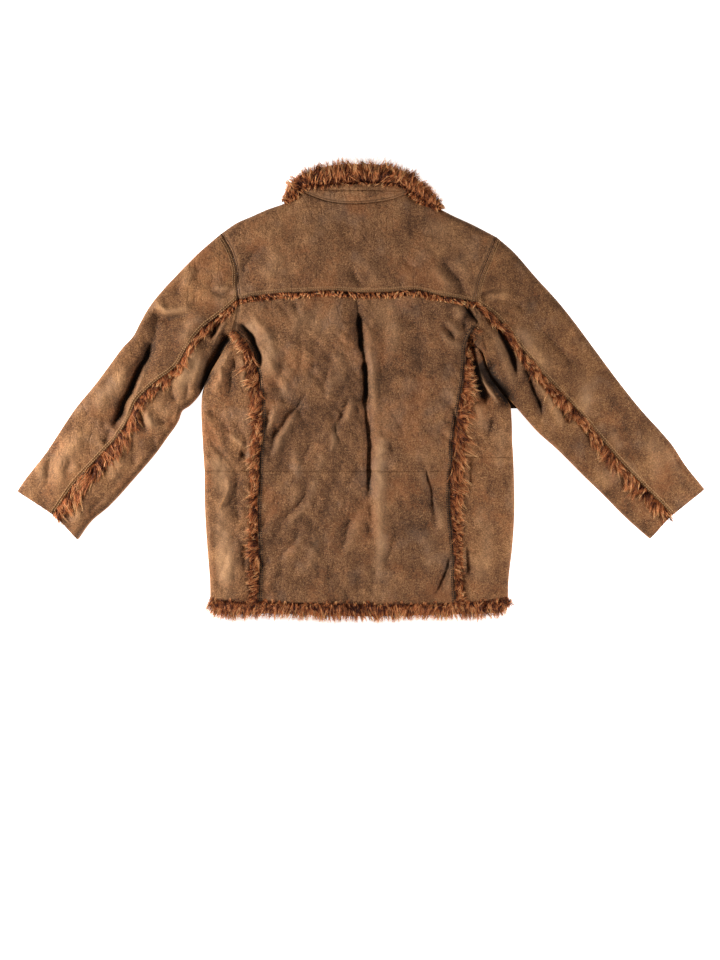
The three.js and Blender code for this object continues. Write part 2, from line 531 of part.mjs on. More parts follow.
// The collar: its stand and the edge of the turned part on top, and its two front ends below.
const neckLine = along(curves.neck, neckShares);
const foldLine = along(curves.collarFold, neckShares);
const turnLine = along(curves.collarTurn, neckShares);
const standRise = 3; // the fold of the collar stands above the yoke
const between = (first, last) => fill(first, last, [first[0], first[0].clone().lerp(last[0], 0.5), last[0]],
  [first.at(-1), first.at(-1).clone().lerp(last.at(-1), 0.5), last.at(-1)], neckShares);
const copied = (points) => points.map((p) => p.clone());
addUpperPiece("collar_stand", trim(between(copied(neckLine), copied(foldLine))), leather,
  (p, row) => topOf(p.x, p.y) + (standRise * row) / 2);
addUpperPiece("collar_edge", trim(between(copied(foldLine), copied(turnLine))), leather,
  (p, row) => topOf(p.x, p.y) + standRise - row);

function addCollarFront(name, half) {
  const grid = trim([half(curves.neck), half(curves.collarTurn)]);
  addPiece(name, solidBetween(raised(grid, () => bottomLayer), raised(grid, () => 0)), leather);
}
addCollarFront("collar_front_left", leftHalf);
addCollarFront("collar_front_right", rightHalf);

// Splits a line of chords so that none is longer than the width of a lock.
const lockWidth = 7;
function splitChords(points) {
  return points.flatMap((p, index) => {
    if (!index) return [p.clone()];
    const before = points[index - 1];
    const count = Math.ceil(before.distanceTo(p) / lockWidth);
    return straight(before, p, steps(count)).slice(1);
  });
}

// The collar's wool, fanned out past the leather. It sits on the edge of the turned part
// and on the shoulders beside it, and its free edge ends in locks.
const [outerLeft, midLeft, innerLeft] = along(curves.shoulderLeft, shoulderLeftShares.slice(-3));
const [innerRight, nearRight, midRight, outerRight] = along(curves.shoulderRight, shoulderRightShares.slice(0, 4));
const collarCentre = point(0, 300);
const collarSeat = splitChords([
  outerLeft.lerp(midLeft, 0.5), midLeft, innerLeft, ...turnLine,
  innerRight, nearRight, midRight, outerRight.lerp(midRight, 0.45),
]).map((p) => p.addScaledVector(p.clone().sub(collarCentre).normalize(), 0.6 * seamGap));
const lockPull = [0, 1, 0.25, 0.8];
const fanAcross = [0, 0.3, 0.65, 1];
function fanOut(seat, tips, depth) {
  return seat.map((p, index) => {
    const tip = tips[index].clone().lerp(p, (depth * lockPull[index % lockPull.length]) / p.distanceTo(tips[index]));
    return straight(p, tip, fanAcross);
  });
}
const collarFan = fanOut(collarSeat, along(curves.collarTips, steps(collarSeat.length - 1)), tuftDepth);
const fanHeights = [30, furPeak, 25, collarFurEdge];
const fanHeight = (p, row, column) =>
  fanHeights[column] * (row === 0 || row === collarFan.length - 1 ? 0.6 : 1)
  + (column < 3 ? lockHeights[row % lockHeights.length] : 0);
addPiece("fur_collar", solidBetween(raised(trim(collarFan, { left: true }), fanHeight), raised(collarFan, () => 0)), fur);

// The hem's wool: one fringe below the back's edge and one below each front's.
const hemShares = steps(64);
const hemFan = fanOut(along(curves.hem, hemShares), along(curves.hemTips, hemShares), tuftDepth);
const hemHeight = (p, row, column) =>
  THREE.MathUtils.lerp(restHeight + 1, hemFurEdge, fanAcross[column] ** 2)
  + (column > 0 && column < 3 ? lockHeights[row % lockHeights.length] : 0);
addPiece("fur_hem_back", solidBetween(raised(trim(hemFan, { left: true }), hemHeight), raised(hemFan, () => topLayer)),
  fur);

function addFrontHem(name, from, to) {
  const shares = steps(26).map((share) => THREE.MathUtils.lerp(from, to, share));
  const fan = fanOut(along(curves.hem, shares), along(curves.hemTips, shares), tuftDepth)
    .map((row) => [row[0], row.at(-1)]);
  const grid = trim(fan, { left: true, first: true, last: true });
  const top = raised(grid, (p, row, column) => (column ? bottomLayer - 2 : bottomLayer));
  addPiece(name, solidBetween(top, raised(grid, () => 0)), fur);
}
addFrontHem("fur_hem_front_left", 0, middleOf(curves.hem));
addFrontHem("fur_hem_front_right", middleOf(curves.hem), 1);

export default coat;
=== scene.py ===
from collections import namedtuple

import bmesh
import bpy
import numpy as np
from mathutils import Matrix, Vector


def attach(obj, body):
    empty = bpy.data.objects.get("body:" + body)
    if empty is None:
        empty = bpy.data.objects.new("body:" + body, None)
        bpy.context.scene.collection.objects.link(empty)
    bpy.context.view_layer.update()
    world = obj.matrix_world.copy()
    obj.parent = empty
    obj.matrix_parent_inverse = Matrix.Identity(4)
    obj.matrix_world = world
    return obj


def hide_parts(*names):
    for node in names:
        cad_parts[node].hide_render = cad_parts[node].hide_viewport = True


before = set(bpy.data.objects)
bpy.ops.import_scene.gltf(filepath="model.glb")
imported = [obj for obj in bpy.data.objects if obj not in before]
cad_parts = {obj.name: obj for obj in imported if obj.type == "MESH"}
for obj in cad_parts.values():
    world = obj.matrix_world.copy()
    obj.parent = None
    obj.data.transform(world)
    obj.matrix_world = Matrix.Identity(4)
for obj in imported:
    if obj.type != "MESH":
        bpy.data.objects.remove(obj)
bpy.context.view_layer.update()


# How the coat lies
# The coat is laid on its front on a flat surface. Its own weight presses it to about 27 mm, and the
# folds below stand over that or sink into it. All of the coat's sizes are in millimetres.
MM = 0.001
REST, LOWEST, HIGHEST = 27.0, 7.0, 41.0
Fold = namedtuple("Fold", "spread lift path skew taper", defaults=(0.0, 0.3))
FOLDS = [
    # the pleat down the middle of the back, and the roll beside it
    Fold(5, -5.5, [(-8, 184), (-6, 162), (-4, 132)], -0.4),
    Fold(5.2, -23, [(-5, 152), (-4, 126), (-1, 98), (2, 72)], -0.3, 0.25),
    Fold(5, -10, [(0, 92), (4, 74), (7, 56)], -0.3),
    Fold(5.6, -25, [(6, 72), (8, 42), (9, 12), (8, -40)], -0.3, 0.3),
    Fold(6.2, -15.5, [(8, 6), (9, -46), (13, -96), (15, -138), (16, -186), (17, -220)], -0.3, 0.3),
    Fold(7, -3.5, [(17, -205), (20, -240), (22, -290)]),
    Fold(17, -2, [(-13, 130), (-11, 60), (-8, -20), (-4, -100)]),
    Fold(9, 5, [(10, 150), (16, 100), (22, 60), (24, 20), (28, -30), (30, -76)]),
    Fold(10, 5.5, [(28, -60), (34, -110), (36, -170), (34, -220), (40, -270), (42, -310), (33, -372)]),
    Fold(12, -3.5, [(52, 160), (48, 110), (42, 74), (47, 44), (58, 16)]),
    Fold(12, 3, [(72, 140), (64, 100), (58, 60)]),
    Fold(14, 3, [(-34, 84), (-42, 40), (-34, 0)]),
    # the left half of the back, down to the waist
    Fold(5.5, -25, [(-240, 134), (-226, 124), (-211, 107), (-199, 84), (-193, 58), (-192, 38)], 0.4, 0.25),
    Fold(9, -5.5, [(-194, 60), (-194, 30), (-196, -4)], 0.4),
    Fold(12, 6.5, [(-206, 160), (-198, 132), (-184, 112), (-174, 88), (-172, 56), (-164, 26), (-170, 4)]),
    Fold(8, -3.5, [(-128, 172), (-124, 156), (-122, 140)], -0.3),
    Fold(9, 3.5, [(-110, 166), (-120, 132), (-132, 96)]),
    Fold(10, 3.5, [(-134, 56), (-146, 14), (-148, -22)]),
    Fold(6, -8.5, [(-90, 22), (-102, -2), (-116, -26), (-138, -50), (-154, -74), (-166, -100), (-174, -130),
                   (-172, -152)], 0.4, 0.4),
    Fold(8, 5.5, [(-118, -36), (-138, -64), (-150, -88), (-162, -112), (-170, -134)]),
    Fold(10, 3.5, [(-150, -16), (-160, -40), (-172, -66)]),
    Fold(4, -3.5, [(-104, -20), (-114, -38), (-122, -54)]),
    Fold(6, -5, [(-62, 48), (-66, 28), (-74, 4)], 0.4),
    Fold(7, 3.5, [(-56, 34), (-60, 6), (-66, -20)]),
    Fold(5, -5, [(-170, -32), (-178, -56), (-184, -82)]),
    Fold(6, 3, [(-162, -36), (-172, -62), (-178, -80)]),
    Fold(7, -5, [(-20, -4), (-29, -30), (-38, -56), (-46, -80)], 0.3),
    Fold(7, 4, [(-12, -10), (-21, -38), (-32, -66)]),
    Fold(4.5, -3.5, [(-48, -60), (-46, -80), (-42, -102)]),
    Fold(5, 3.5, [(-53, -72), (-52, -98), (-62, -126)]),
    Fold(7, -4, [(-95, -88), (-99, -112), (-112, -136), (-119, -156)], 0.3),
    Fold(8, 3, [(-78, -116), (-76, -142), (-90, -166)]),
    Fold(8, 3.5, [(-132, -108), (-120, -140), (-122, -170)]),
    # the left half, from the waist to the hem
    Fold(5.5, -5, [(-100, -158), (-104, -186), (-113, -207), (-131, -231), (-150, -250), (-166, -266)],
         0.35, 0.4),
    Fold(7, 3, [(-92, -180), (-96, -206), (-112, -232), (-132, -254), (-148, -276)]),
    Fold(9, 2.5, [(-128, -172), (-122, -196), (-140, -222)]),
    Fold(5, -3, [(-82, -200), (-86, -222), (-92, -240)]),
    Fold(6, -4.5, [(-108, -256), (-124, -285), (-140, -305), (-155, -320), (-168, -336)], 0.3, 0.4),
    Fold(8, 2.5, [(-112, -272), (-122, -296), (-128, -322)]),
    Fold(7, -5, [(2, -214), (-12, -242), (-24, -266), (-34, -294), (-46, -328)], 0.3, 0.35),
    Fold(8, -3, [(-46, -322), (-56, -356), (-66, -388), (-72, -404)]),
    Fold(9, 3, [(8, -228), (-6, -256), (-20, -290), (-32, -322)]),
    Fold(12, 3, [(-84, -262), (-90, -310), (-100, -360)]),
    # the right half of the back
    Fold(5, -5.5, [(156, 127), (170, 113), (184, 99)]),
    Fold(7, 5, [(166, 136), (180, 120), (194, 102)]),
    Fold(8, 4, [(150, 120), (165, 100), (184, 88), (198, 74)]),
    Fold(7, 5, [(182, 168), (190, 150), (192, 134)]),
    Fold(6, -5, [(200, 156), (201, 138), (200, 116)]),
    Fold(4.6, -18, [(190, 170), (205, 155), (219, 139), (229, 122)], 0.3, 0.4),
    Fold(9, -3, [(128, 164), (142, 148), (152, 138)]),
    Fold(5, -3, [(134, 34), (141, 24), (148, 18)]),
    Fold(6, -6.5, [(160, -6), (171, -26), (182, -40), (180, -62), (173, -82)], 0.3),
    Fold(7, 3.5, [(170, 6), (180, -14), (188, -30)]),
    Fold(4.5, -3.5, [(156, -50), (167, -58), (176, -61)]),
    Fold(6, -4, [(144, -68), (160, -84), (174, -98), (182, -112)]),
    Fold(7, 3, [(160, -70), (170, -82), (180, -94)]),
    Fold(6, -4, [(60, -42), (70, -58), (80, -76), (84, -94)]),
    Fold(5, -3.5, [(36, -70), (42, -80), (40, -92)]),
    Fold(7, 3.5, [(48, -84), (43, -106), (42, -130)]),
    Fold(5.5, -7, [(114, -120), (122, -146), (130, -178), (138, -212), (144, -244), (154, -272)], 0.3, 0.35),
    Fold(7, 4, [(112, -146), (120, -172), (129, -200)]),
    Fold(8, 4, [(146, -214), (154, -244), (162, -276)]),
    Fold(6.5, -8.5, [(176, -306), (167, -332), (158, -360), (146, -386), (138, -404)], 0.0, 0.35),
    Fold(8, 3.5, [(182, -330), (172, -368), (160, -396)]),
    Fold(7, -4, [(70, -248), (62, -280), (53, -310), (48, -344)]),
    Fold(12, 3, [(120, -270), (134, -300), (130, -350)]),
    Fold(16, -3, [(92, -200), (100, -260), (90, -330)]),
    # two broad, shallow hollows that mostly darken the right half of the back through the painted shade of
    # hollows
    Fold(40, -3.5, [(100, 180), (112, 80), (118, 0), (110, -70)], 0.0, 0.2),
    Fold(34, -3.5, [(126, -150), (136, -230), (130, -310), (120, -380)], 0.0, 0.2),
    # the yoke
    Fold(13, -6.5, [(-190, 288), (-205, 264), (-217, 242), (-230, 220), (-244, 202)]),
    Fold(16, 3.5, [(-150, 274), (-168, 242), (-186, 212)]),
    Fold(7, -5.5, [(-14, 246), (-9, 222), (-1, 202), (3, 188)], 0.3),
    Fold(12, 2, [(16, 250), (24, 224), (28, 202)]),
    Fold(8, -7, [(150, 262), (165, 240), (180, 220), (196, 198), (209, 176)], 0.3),
    Fold(10, 3.5, [(136, 244), (160, 216), (180, 190)]),
    Fold(12, 3, [(176, 262), (196, 232), (214, 206)]),
    Fold(7, -3, [(76, 262), (90, 240), (100, 226)]),
    Fold(16, -3, [(110, 340), (122, 316), (116, 290)]),
    # the left side, from the cleft of the armpit to the hem
    Fold(8.5, -28, [(-247, 112), (-254, 98), (-266, 82), (-282, 58), (-296, 30), (-308, -4)], 0.0, 0.14),
    Fold(3.5, 7, [(-262, 80), (-270, 70), (-277, 56)]),
    Fold(7, 5.5, [(-246, 92), (-256, 66), (-266, 44), (-268, 22), (-284, 4), (-290, -10)]),
    Fold(11, -6.5, [(-242, 62), (-248, 30), (-250, 2), (-256, -24)]),
    Fold(4, -5.5, [(-240, 62), (-240, 48), (-241, 36)]),
    Fold(6, 3.5, [(-228, 70), (-224, 34), (-220, 0)]),
    Fold(4.5, -3.5, [(-300, -56), (-294, -74), (-286, -90)]),
    Fold(5, -3.5, [(-270, -60), (-256, -72), (-246, -84)]),
    Fold(5, -3.5, [(-243, -64), (-230, -76), (-218, -92)]),
    Fold(5, -3, [(-296, -24), (-282, -44), (-258, -54)]),
    Fold(7, -5, [(-296, -84), (-280, -106), (-266, -120), (-248, -132)]),
    Fold(6, 5, [(-252, -78), (-237, -94), (-222, -110), (-216, -116)]),
    Fold(6, -8, [(-232, -124), (-224, -126), (-214, -128)]),
    Fold(12, 4, [(-296, -134), (-280, -142), (-264, -146)]),
    Fold(5, 3.5, [(-262, -160), (-252, -186), (-262, -210), (-276, -240)]),
    Fold(10, -5.5, [(-238, -150), (-238, -200), (-233, -262)]),
    Fold(7, -6, [(-222, -282), (-221, -316), (-222, -352)]),
    Fold(7, -3, [(-284, -304), (-268, -288), (-254, -274)]),
    Fold(14, 4, [(-258, -286), (-256, -336), (-262, -384)]),
    Fold(10, 3, [(-262, -216), (-268, -250), (-262, -276)]),
    # the right side
    Fold(8, -27, [(213, 116), (212, 86), (216, 60), (226, 32), (232, 4), (242, -30)], 0.0, 0.16),
    Fold(10, -30, [(229, 66), (243, 38), (260, 12), (276, -12), (290, -36)], 0.0, 0.2),
    Fold(3.2, 15, [(221, 62), (230, 36), (242, 10), (256, -14), (268, -32)]),
    Fold(9, 5, [(226, -20), (231, -50), (230, -84)]),
    Fold(9, -5.5, [(246, -44), (249, -70), (244, -94)]),
    Fold(12, 3, [(264, -60), (268, -100), (260, -150)]),
    Fold(7, -5.5, [(206, -118), (209, -150), (207, -190)]),
    Fold(6, -7, [(205, -296), (204, -330), (208, -364)]),
    Fold(12, 3.5, [(216, -310), (224, -340), (222, -372)]),
    Fold(14, -3, [(240, -160), (250, -220), (244, -280)]),
    Fold(10, 3, [(226, -210), (230, -240), (224, -270)]),
    # the left sleeve's upper piece
    Fold(13, -7, [(-398, 152), (-392, 128), (-396, 104), (-410, 76)]),
    Fold(7.5, -25, [(-398, 102), (-409, 78), (-421, 52), (-434, 24), (-446, 0), (-457, -24), (-467, -50),
                    (-474, -76)], -0.35, 0.2),
    Fold(10, -5.5, [(-466, -50), (-484, -62), (-504, -68)]),
    Fold(9, -6.5, [(-476, -70), (-486, -88), (-490, -106)]),
    Fold(5, 5, [(-404, 64), (-420, 22), (-438, -18), (-452, -54), (-462, -82)]),
    Fold(15, 5.5, [(-436, 60), (-460, 22), (-482, 0), (-502, -26), (-516, -52)]),
    Fold(9, -5.5, [(-552, -44), (-574, -88), (-590, -122), (-600, -156), (-598, -200)]),
    Fold(7, 3.5, [(-606, -128), (-612, -152), (-610, -176)]),
    Fold(14, 5, [(-530, -58), (-546, -98), (-570, -138), (-578, -170), (-574, -200)]),
    Fold(8, -4, [(-562, -118), (-558, -146), (-566, -166)]),
    Fold(8, 3.5, [(-540, -138), (-548, -148), (-552, -160)]),
    Fold(8, 8, [(-396, 172), (-372, 154), (-346, 152), (-322, 164)]),
    Fold(8, -10, [(-408, 156), (-388, 141), (-362, 138), (-338, 144), (-318, 152)]),
    Fold(12, 5, [(-352, 84), (-338, 106), (-316, 132), (-290, 152)]),
    Fold(10, -4, [(-338, 214), (-350, 192), (-344, 174)]),
    Fold(10, 4, [(-316, 238), (-330, 210), (-334, 190)]),
    Fold(8, -3.5, [(-304, 246), (-314, 226), (-316, 206)]),
    Fold(5, -6.5, [(-284, 190), (-264, 183), (-240, 193)]),
    Fold(5, 3.5, [(-282, 198), (-262, 194), (-246, 202)]),
    # the left sleeve's under piece
    Fold(5.5, -17, [(-258, 148), (-268, 136), (-280, 116), (-292, 98)], 0.3),
    Fold(5, 5, [(-258, 138), (-270, 114), (-284, 88)]),
    Fold(12, 5.5, [(-311, 102), (-324, 68), (-340, 40), (-352, 6), (-349, -16)]),
    Fold(10, 3.5, [(-300, 66), (-310, 36), (-318, 10)]),
    Fold(6, -5.5, [(-330, 22), (-332, 0), (-336, -20)]),
    Fold(6, -14, [(-350, 46), (-356, 36), (-364, 26)]),
    Fold(8, -7, [(-366, 14), (-360, -8), (-348, -26)]),
    Fold(9, 5.5, [(-414, -32), (-406, -54), (-398, -76)]),
    Fold(10, 3.5, [(-392, -16), (-372, -40), (-354, -46)]),
    Fold(6, -6.5, [(-426, -42), (-418, -62), (-406, -82)]),
    Fold(6, -5.5, [(-388, -50), (-376, -60), (-350, -56)]),
    Fold(7, -5, [(-402, -84), (-396, -104), (-398, -124)]),
    Fold(13, 5, [(-452, -126), (-468, -150), (-478, -180)]),
    Fold(7, -4, [(-440, -118), (-436, -134), (-424, -144)]),
    Fold(12, 3.5, [(-530, -232), (-544, -244), (-552, -258)]),
    Fold(9, -4, [(-486, -200), (-508, -222), (-524, -240)]),
    # the right sleeve's upper piece
    Fold(5, -5.5, [(222, 174), (236, 188), (262, 194), (288, 197)], 0.3),
    Fold(9, 4, [(238, 178), (264, 184), (290, 186)]),
    Fold(5, -3.5, [(306, 180), (308, 164), (313, 148)]),
    Fold(9, -3.5, [(325, 184), (326, 166), (324, 150)]),
    Fold(9, -6.5, [(330, 142), (346, 122), (362, 105), (382, 80), (406, 54), (430, 28)]),
    Fold(16, -5.5, [(440, 20), (464, 0), (486, -22), (505, -52), (516, -90), (530, -122), (546, -160)]),
    Fold(14, 5, [(296, 136), (316, 106), (346, 64), (372, 30)]),
    Fold(14, 5, [(430, 2), (432, -22), (420, -46)]),
    Fold(9, 5, [(480, -74), (488, -94), (496, -118)]),
    Fold(6, 3.5, [(500, -122), (520, -150), (546, -182)]),
    Fold(13, 5, [(544, -78), (560, -118), (566, -150), (570, -184)]),
    Fold(9, -5.5, [(596, -112), (610, -144), (618, -176), (620, -204)]),
    # the right sleeve's under piece
    Fold(6.5, -22, [(242, 142), (262, 118), (282, 90), (295, 58), (300, 28)], 0.3, 0.3),
    Fold(10, 4, [(246, 116), (262, 90), (278, 60), (292, 22), (304, -8)]),
    Fold(4, -7, [(244, 55), (252, 49), (261, 51)]),
    Fold(4.5, -5.5, [(228, 80), (234, 64), (244, 54)]),
    Fold(5, 3.5, [(303, 62), (308, 40), (312, 16)]),
    Fold(6.5, -15, [(316, 50), (324, 26), (334, 0), (344, -28), (349, -58)], 0.2, 0.3),
    Fold(8, 5.5, [(338, 24), (354, -4), (370, -30), (382, -56), (386, -84)]),
    Fold(6, -14, [(384, -20), (396, -42), (401, -66)]),
    Fold(12, 4, [(456, -150), (470, -172), (480, -188)]),
    Fold(6, -5, [(448, -192), (464, -197), (480, -192)]),
    Fold(9, -3.5, [(500, -204), (520, -226), (536, -250)]),
]
FOLD_REACH = 3.4  # past this many spreads a fold lifts nothing
TROUGH_POWER, RIDGE_POWER = 1.2, 2.0  # a trough is sharp at the bottom, and a ridge is round


def fold_lift(fold, x, y):
    """How far a fold lifts the points x, y: in full along its middle, and less towards its ends.

    A fold with skew is wider on one side: on the right of its way if skew is above nothing. taper is the
    share of its length in which an end dies out."""
    line = smooth_line(fold.path, 5 * len(fold.path))
    lift = np.zeros(np.shape(x))
    reach = FOLD_REACH * fold.spread
    low, high = line.min(axis=0) - reach, line.max(axis=0) + reach
    close = (x > low[0]) & (x < high[0]) & (y > low[1]) & (y < high[1])
    if not close.any():
        return lift
    x, y = x[close], y[close]
    nearest = np.full(len(x), np.inf)
    along, side = np.zeros(len(x)), np.zeros(len(x))
    for index, (a, b) in enumerate(zip(line, line[1:])):
        share, distance = beside(x, y, a, b)
        nearer = distance < nearest
        nearest = np.where(nearer, distance, nearest)
        along = np.where(nearer, (index + share) / (len(line) - 1), along)
        dx, dy = b - a
        to_right = ((x - a[0]) * dy - (y - a[1]) * dx) / np.hypot(dx, dy)
        side = np.where(nearer, np.tanh(to_right / 2), side)
    ends = smooth_step(along / fold.taper) * smooth_step((1 - along) / fold.taper)
    spread = fold.spread * (1 + fold.skew * side)
    power = TROUGH_POWER if fold.lift < 0 else RIDGE_POWER
    lift[close] = fold.lift * ends * np.exp(-((nearest / spread) ** power))
    return lift


def beside(x, y, a, b):
    """The share of the way from a to b that each point x, y is beside, and how far it is from there."""
    dx, dy = b[0] - a[0], b[1] - a[1]
    share = np.clip(((x - a[0]) * dx + (y - a[1]) * dy) / (dx * dx + dy * dy), 0, 1)
    return share, np.hypot(x - a[0] - share * dx, y - a[1] - share * dy)


def smooth_step(share):
    share = np.clip(share, 0, 1)
    return share * share * (3 - 2 * share)


GROUND_CELLS = 96  # uneven ground repeats after this many bumps
GROUND_START = 400  # keeps the whole coat where the cells count up from nothing


def rumple(x, y, size, seed):
    """Uneven ground from -1 to 1, whose bumps are about size wide."""
    heights = np.random.default_rng(seed).uniform(-1, 1, (GROUND_CELLS, GROUND_CELLS))
    across, up = x / size + GROUND_START, y / size + GROUND_START
    column, row = np.floor(across).astype(int), np.floor(up).astype(int)
    right, above = smooth_step(across - column), smooth_step(up - row)

    def corner(i, j):
        return heights[(row + j) % GROUND_CELLS, (column + i) % GROUND_CELLS]

    low = corner(0, 0) * (1 - right) + corner(1, 0) * right
    high = corner(0, 1) * (1 - right) + corner(1, 1) * right
    return low * (1 - above) + high * above


# Crumples: the way across them in degrees, and their spacing, depth and seed.
Crumple = namedtuple("Crumple", "turn spacing depth seed")
CRUMPLES = [
    Crumple(28, 29, 2.2, 61),
    Crumple(-34, 33, 2.0, 63),
    Crumple(-6, 41, 2.0, 65),
    Crumple(61, 37, 1.8, 67),
    Crumple(86, 45, 1.4, 69),
    Crumple(44, 19, 1.4, 71),
    Crumple(-62, 17, 1.1, 73),
]


def crumpled(x, y):
    """How far the leather's crumples sink: flat facets between sharp creases, in patches that cross.

    The yoke and the sleeves have hardly any, and the right half of the back has fewer than the left."""
    depth = np.zeros(np.shape(x))
    for crumple in CRUMPLES:
        turn = np.radians(crumple.turn)
        across = (x * np.cos(turn) + y * np.sin(turn)) / crumple.spacing
        across += 0.55 * rumple(x, y, 1.7 * crumple.spacing, crumple.seed)
        from_crease = 2 * np.abs(across - np.round(across))
        patch = smooth_step(1.5 * rumple(x, y, 1.3 * crumple.spacing, crumple.seed + 1) + 0.15)
        depth += crumple.depth * patch * (1 - from_crease) ** 2
    yoke_level, sleeve_start, half_start, half_end = 205, 285, 30, 190
    below_yoke = 0.25 + 0.75 * smooth_step((yoke_level - y) / 40)
    off_sleeves = 1 - 0.6 * smooth_step((np.abs(x) - sleeve_start) / 40)
    right_half = 1 - 0.35 * smooth_step((x - half_start) / 30) * smooth_step((half_end - x) / 30)
    return depth * below_yoke * off_sleeves * right_half


# The ground under the folds isn't even: the height, size and seed of its bumps.
Bump = namedtuple("Bump", "height size seed")
BUMPS = [Bump(2.2, 47, 1), Bump(1.1, 23, 2), Bump(0.4, 9, 3)]
WAVER, WAVER_SIZE = 2.6, 22  # how far folds waver from their smooth lines, and in what length


def lie(x, y):
    """The coat's height over the points x, y, with how much of that is ridge and how much is hollow."""
    wave_x = x + WAVER * rumple(x, y, WAVER_SIZE, 11)
    wave_y = y + WAVER * rumple(x, y, WAVER_SIZE, 12)
    lifts = [fold_lift(fold, wave_x, wave_y) for fold in FOLDS]
    ridge = sum(np.maximum(lift, 0) for lift in lifts)
    hollow = sum(np.maximum(-lift, 0) for lift in lifts)
    sway = np.sin(x / 71 + 0.6) * np.cos(y / 83 - 0.4) + np.sin(x / 37 + y / 53)
    uneven = sum(bump.height * rumple(x, y, bump.size, bump.seed) for bump in BUMPS)
    crumples = crumpled(x, y)
    height = REST + 0.8 * sway + uneven + ridge - hollow - crumples
    # the crumples' depth counts as hollow too, so they get painted shade as well
    return np.clip(height, LOWEST, HIGHEST), ridge, hollow + crumples


def smooth_line(points, count=400):
    """The points of a smooth line through the given ones, at equal steps."""
    given = np.array(points, float)
    given = np.vstack([2 * given[0] - given[1], given, 2 * given[-1] - given[-2]])
    stretches = []
    t = np.linspace(0, 1, 24, endpoint=False)[:, None]
    for a, b, c, d in zip(given, given[1:], given[2:], given[3:]):
        before, here, after = (np.sqrt(np.hypot(*(q - p))) for p, q in ((a, b), (b, c), (c, d)))
        leave = here * ((b - a) / before - (c - a) / (before + here) + (c - b) / here)
        arrive = here * ((c - b) / here - (d - b) / (here + after) + (d - c) / after)
        stretches.append(
            (2 * t**3 - 3 * t**2 + 1) * b + (t**3 - 2 * t**2 + t) * leave
            + (3 * t**2 - 2 * t**3) * c + (t**3 - t**2) * arrive
        )
    dense = np.vstack(stretches + [given[-2:-1]])
    reach = np.concatenate([[0], np.cumsum(np.hypot(*np.diff(dense, axis=0).T))])
    steps = np.linspace(0, reach[-1], count)
    return np.column_stack([np.interp(steps, reach, dense[:, axis]) for axis in (0, 1)])


def length_of(line):
    return float(np.sum(np.hypot(*np.diff(line, axis=0).T)))


def at(line, share):
    """The points of a line at shares of its length."""
    place = np.clip(share, 0, 1) * (len(line) - 1)
    return np.stack([np.interp(place, np.arange(len(line)), line[:, axis]) for axis in (0, 1)], axis=-1)


def by_share(line):
    return lambda share: at(line, share)


def unit(ways):
    return ways / np.hypot(*ways.T)[:, None]


def ahead_at(line, share):
    """The way that a line runs at shares of its length."""
    return unit(at(line, np.minimum(share + 0.01, 1)) - at(line, np.maximum(share - 0.01, 0)))


def between(a, b, share):
    """The points that lie at a share of the way from a to b."""
    return a + (b - a) * np.asarray(share)[..., None]


def ruled(left, right):
    """A plan whose rows run straight from one line to another."""
    return lambda u, v: between(left(v), right(v), u)


def fill(first, last, left, right):
    """A plan filled in between four sides: first and last run across it, left and right along it."""
    rows = ruled(left, right)

    def plan(u, v):
        first_bulge = first(u) - between(first(0 * u), first(0 * u + 1), u)
        last_bulge = last(u) - between(last(0 * u), last(0 * u + 1), u)
        return rows(u, v) + first_bulge * (1 - v)[..., None] + last_bulge * v[..., None]
    return plan
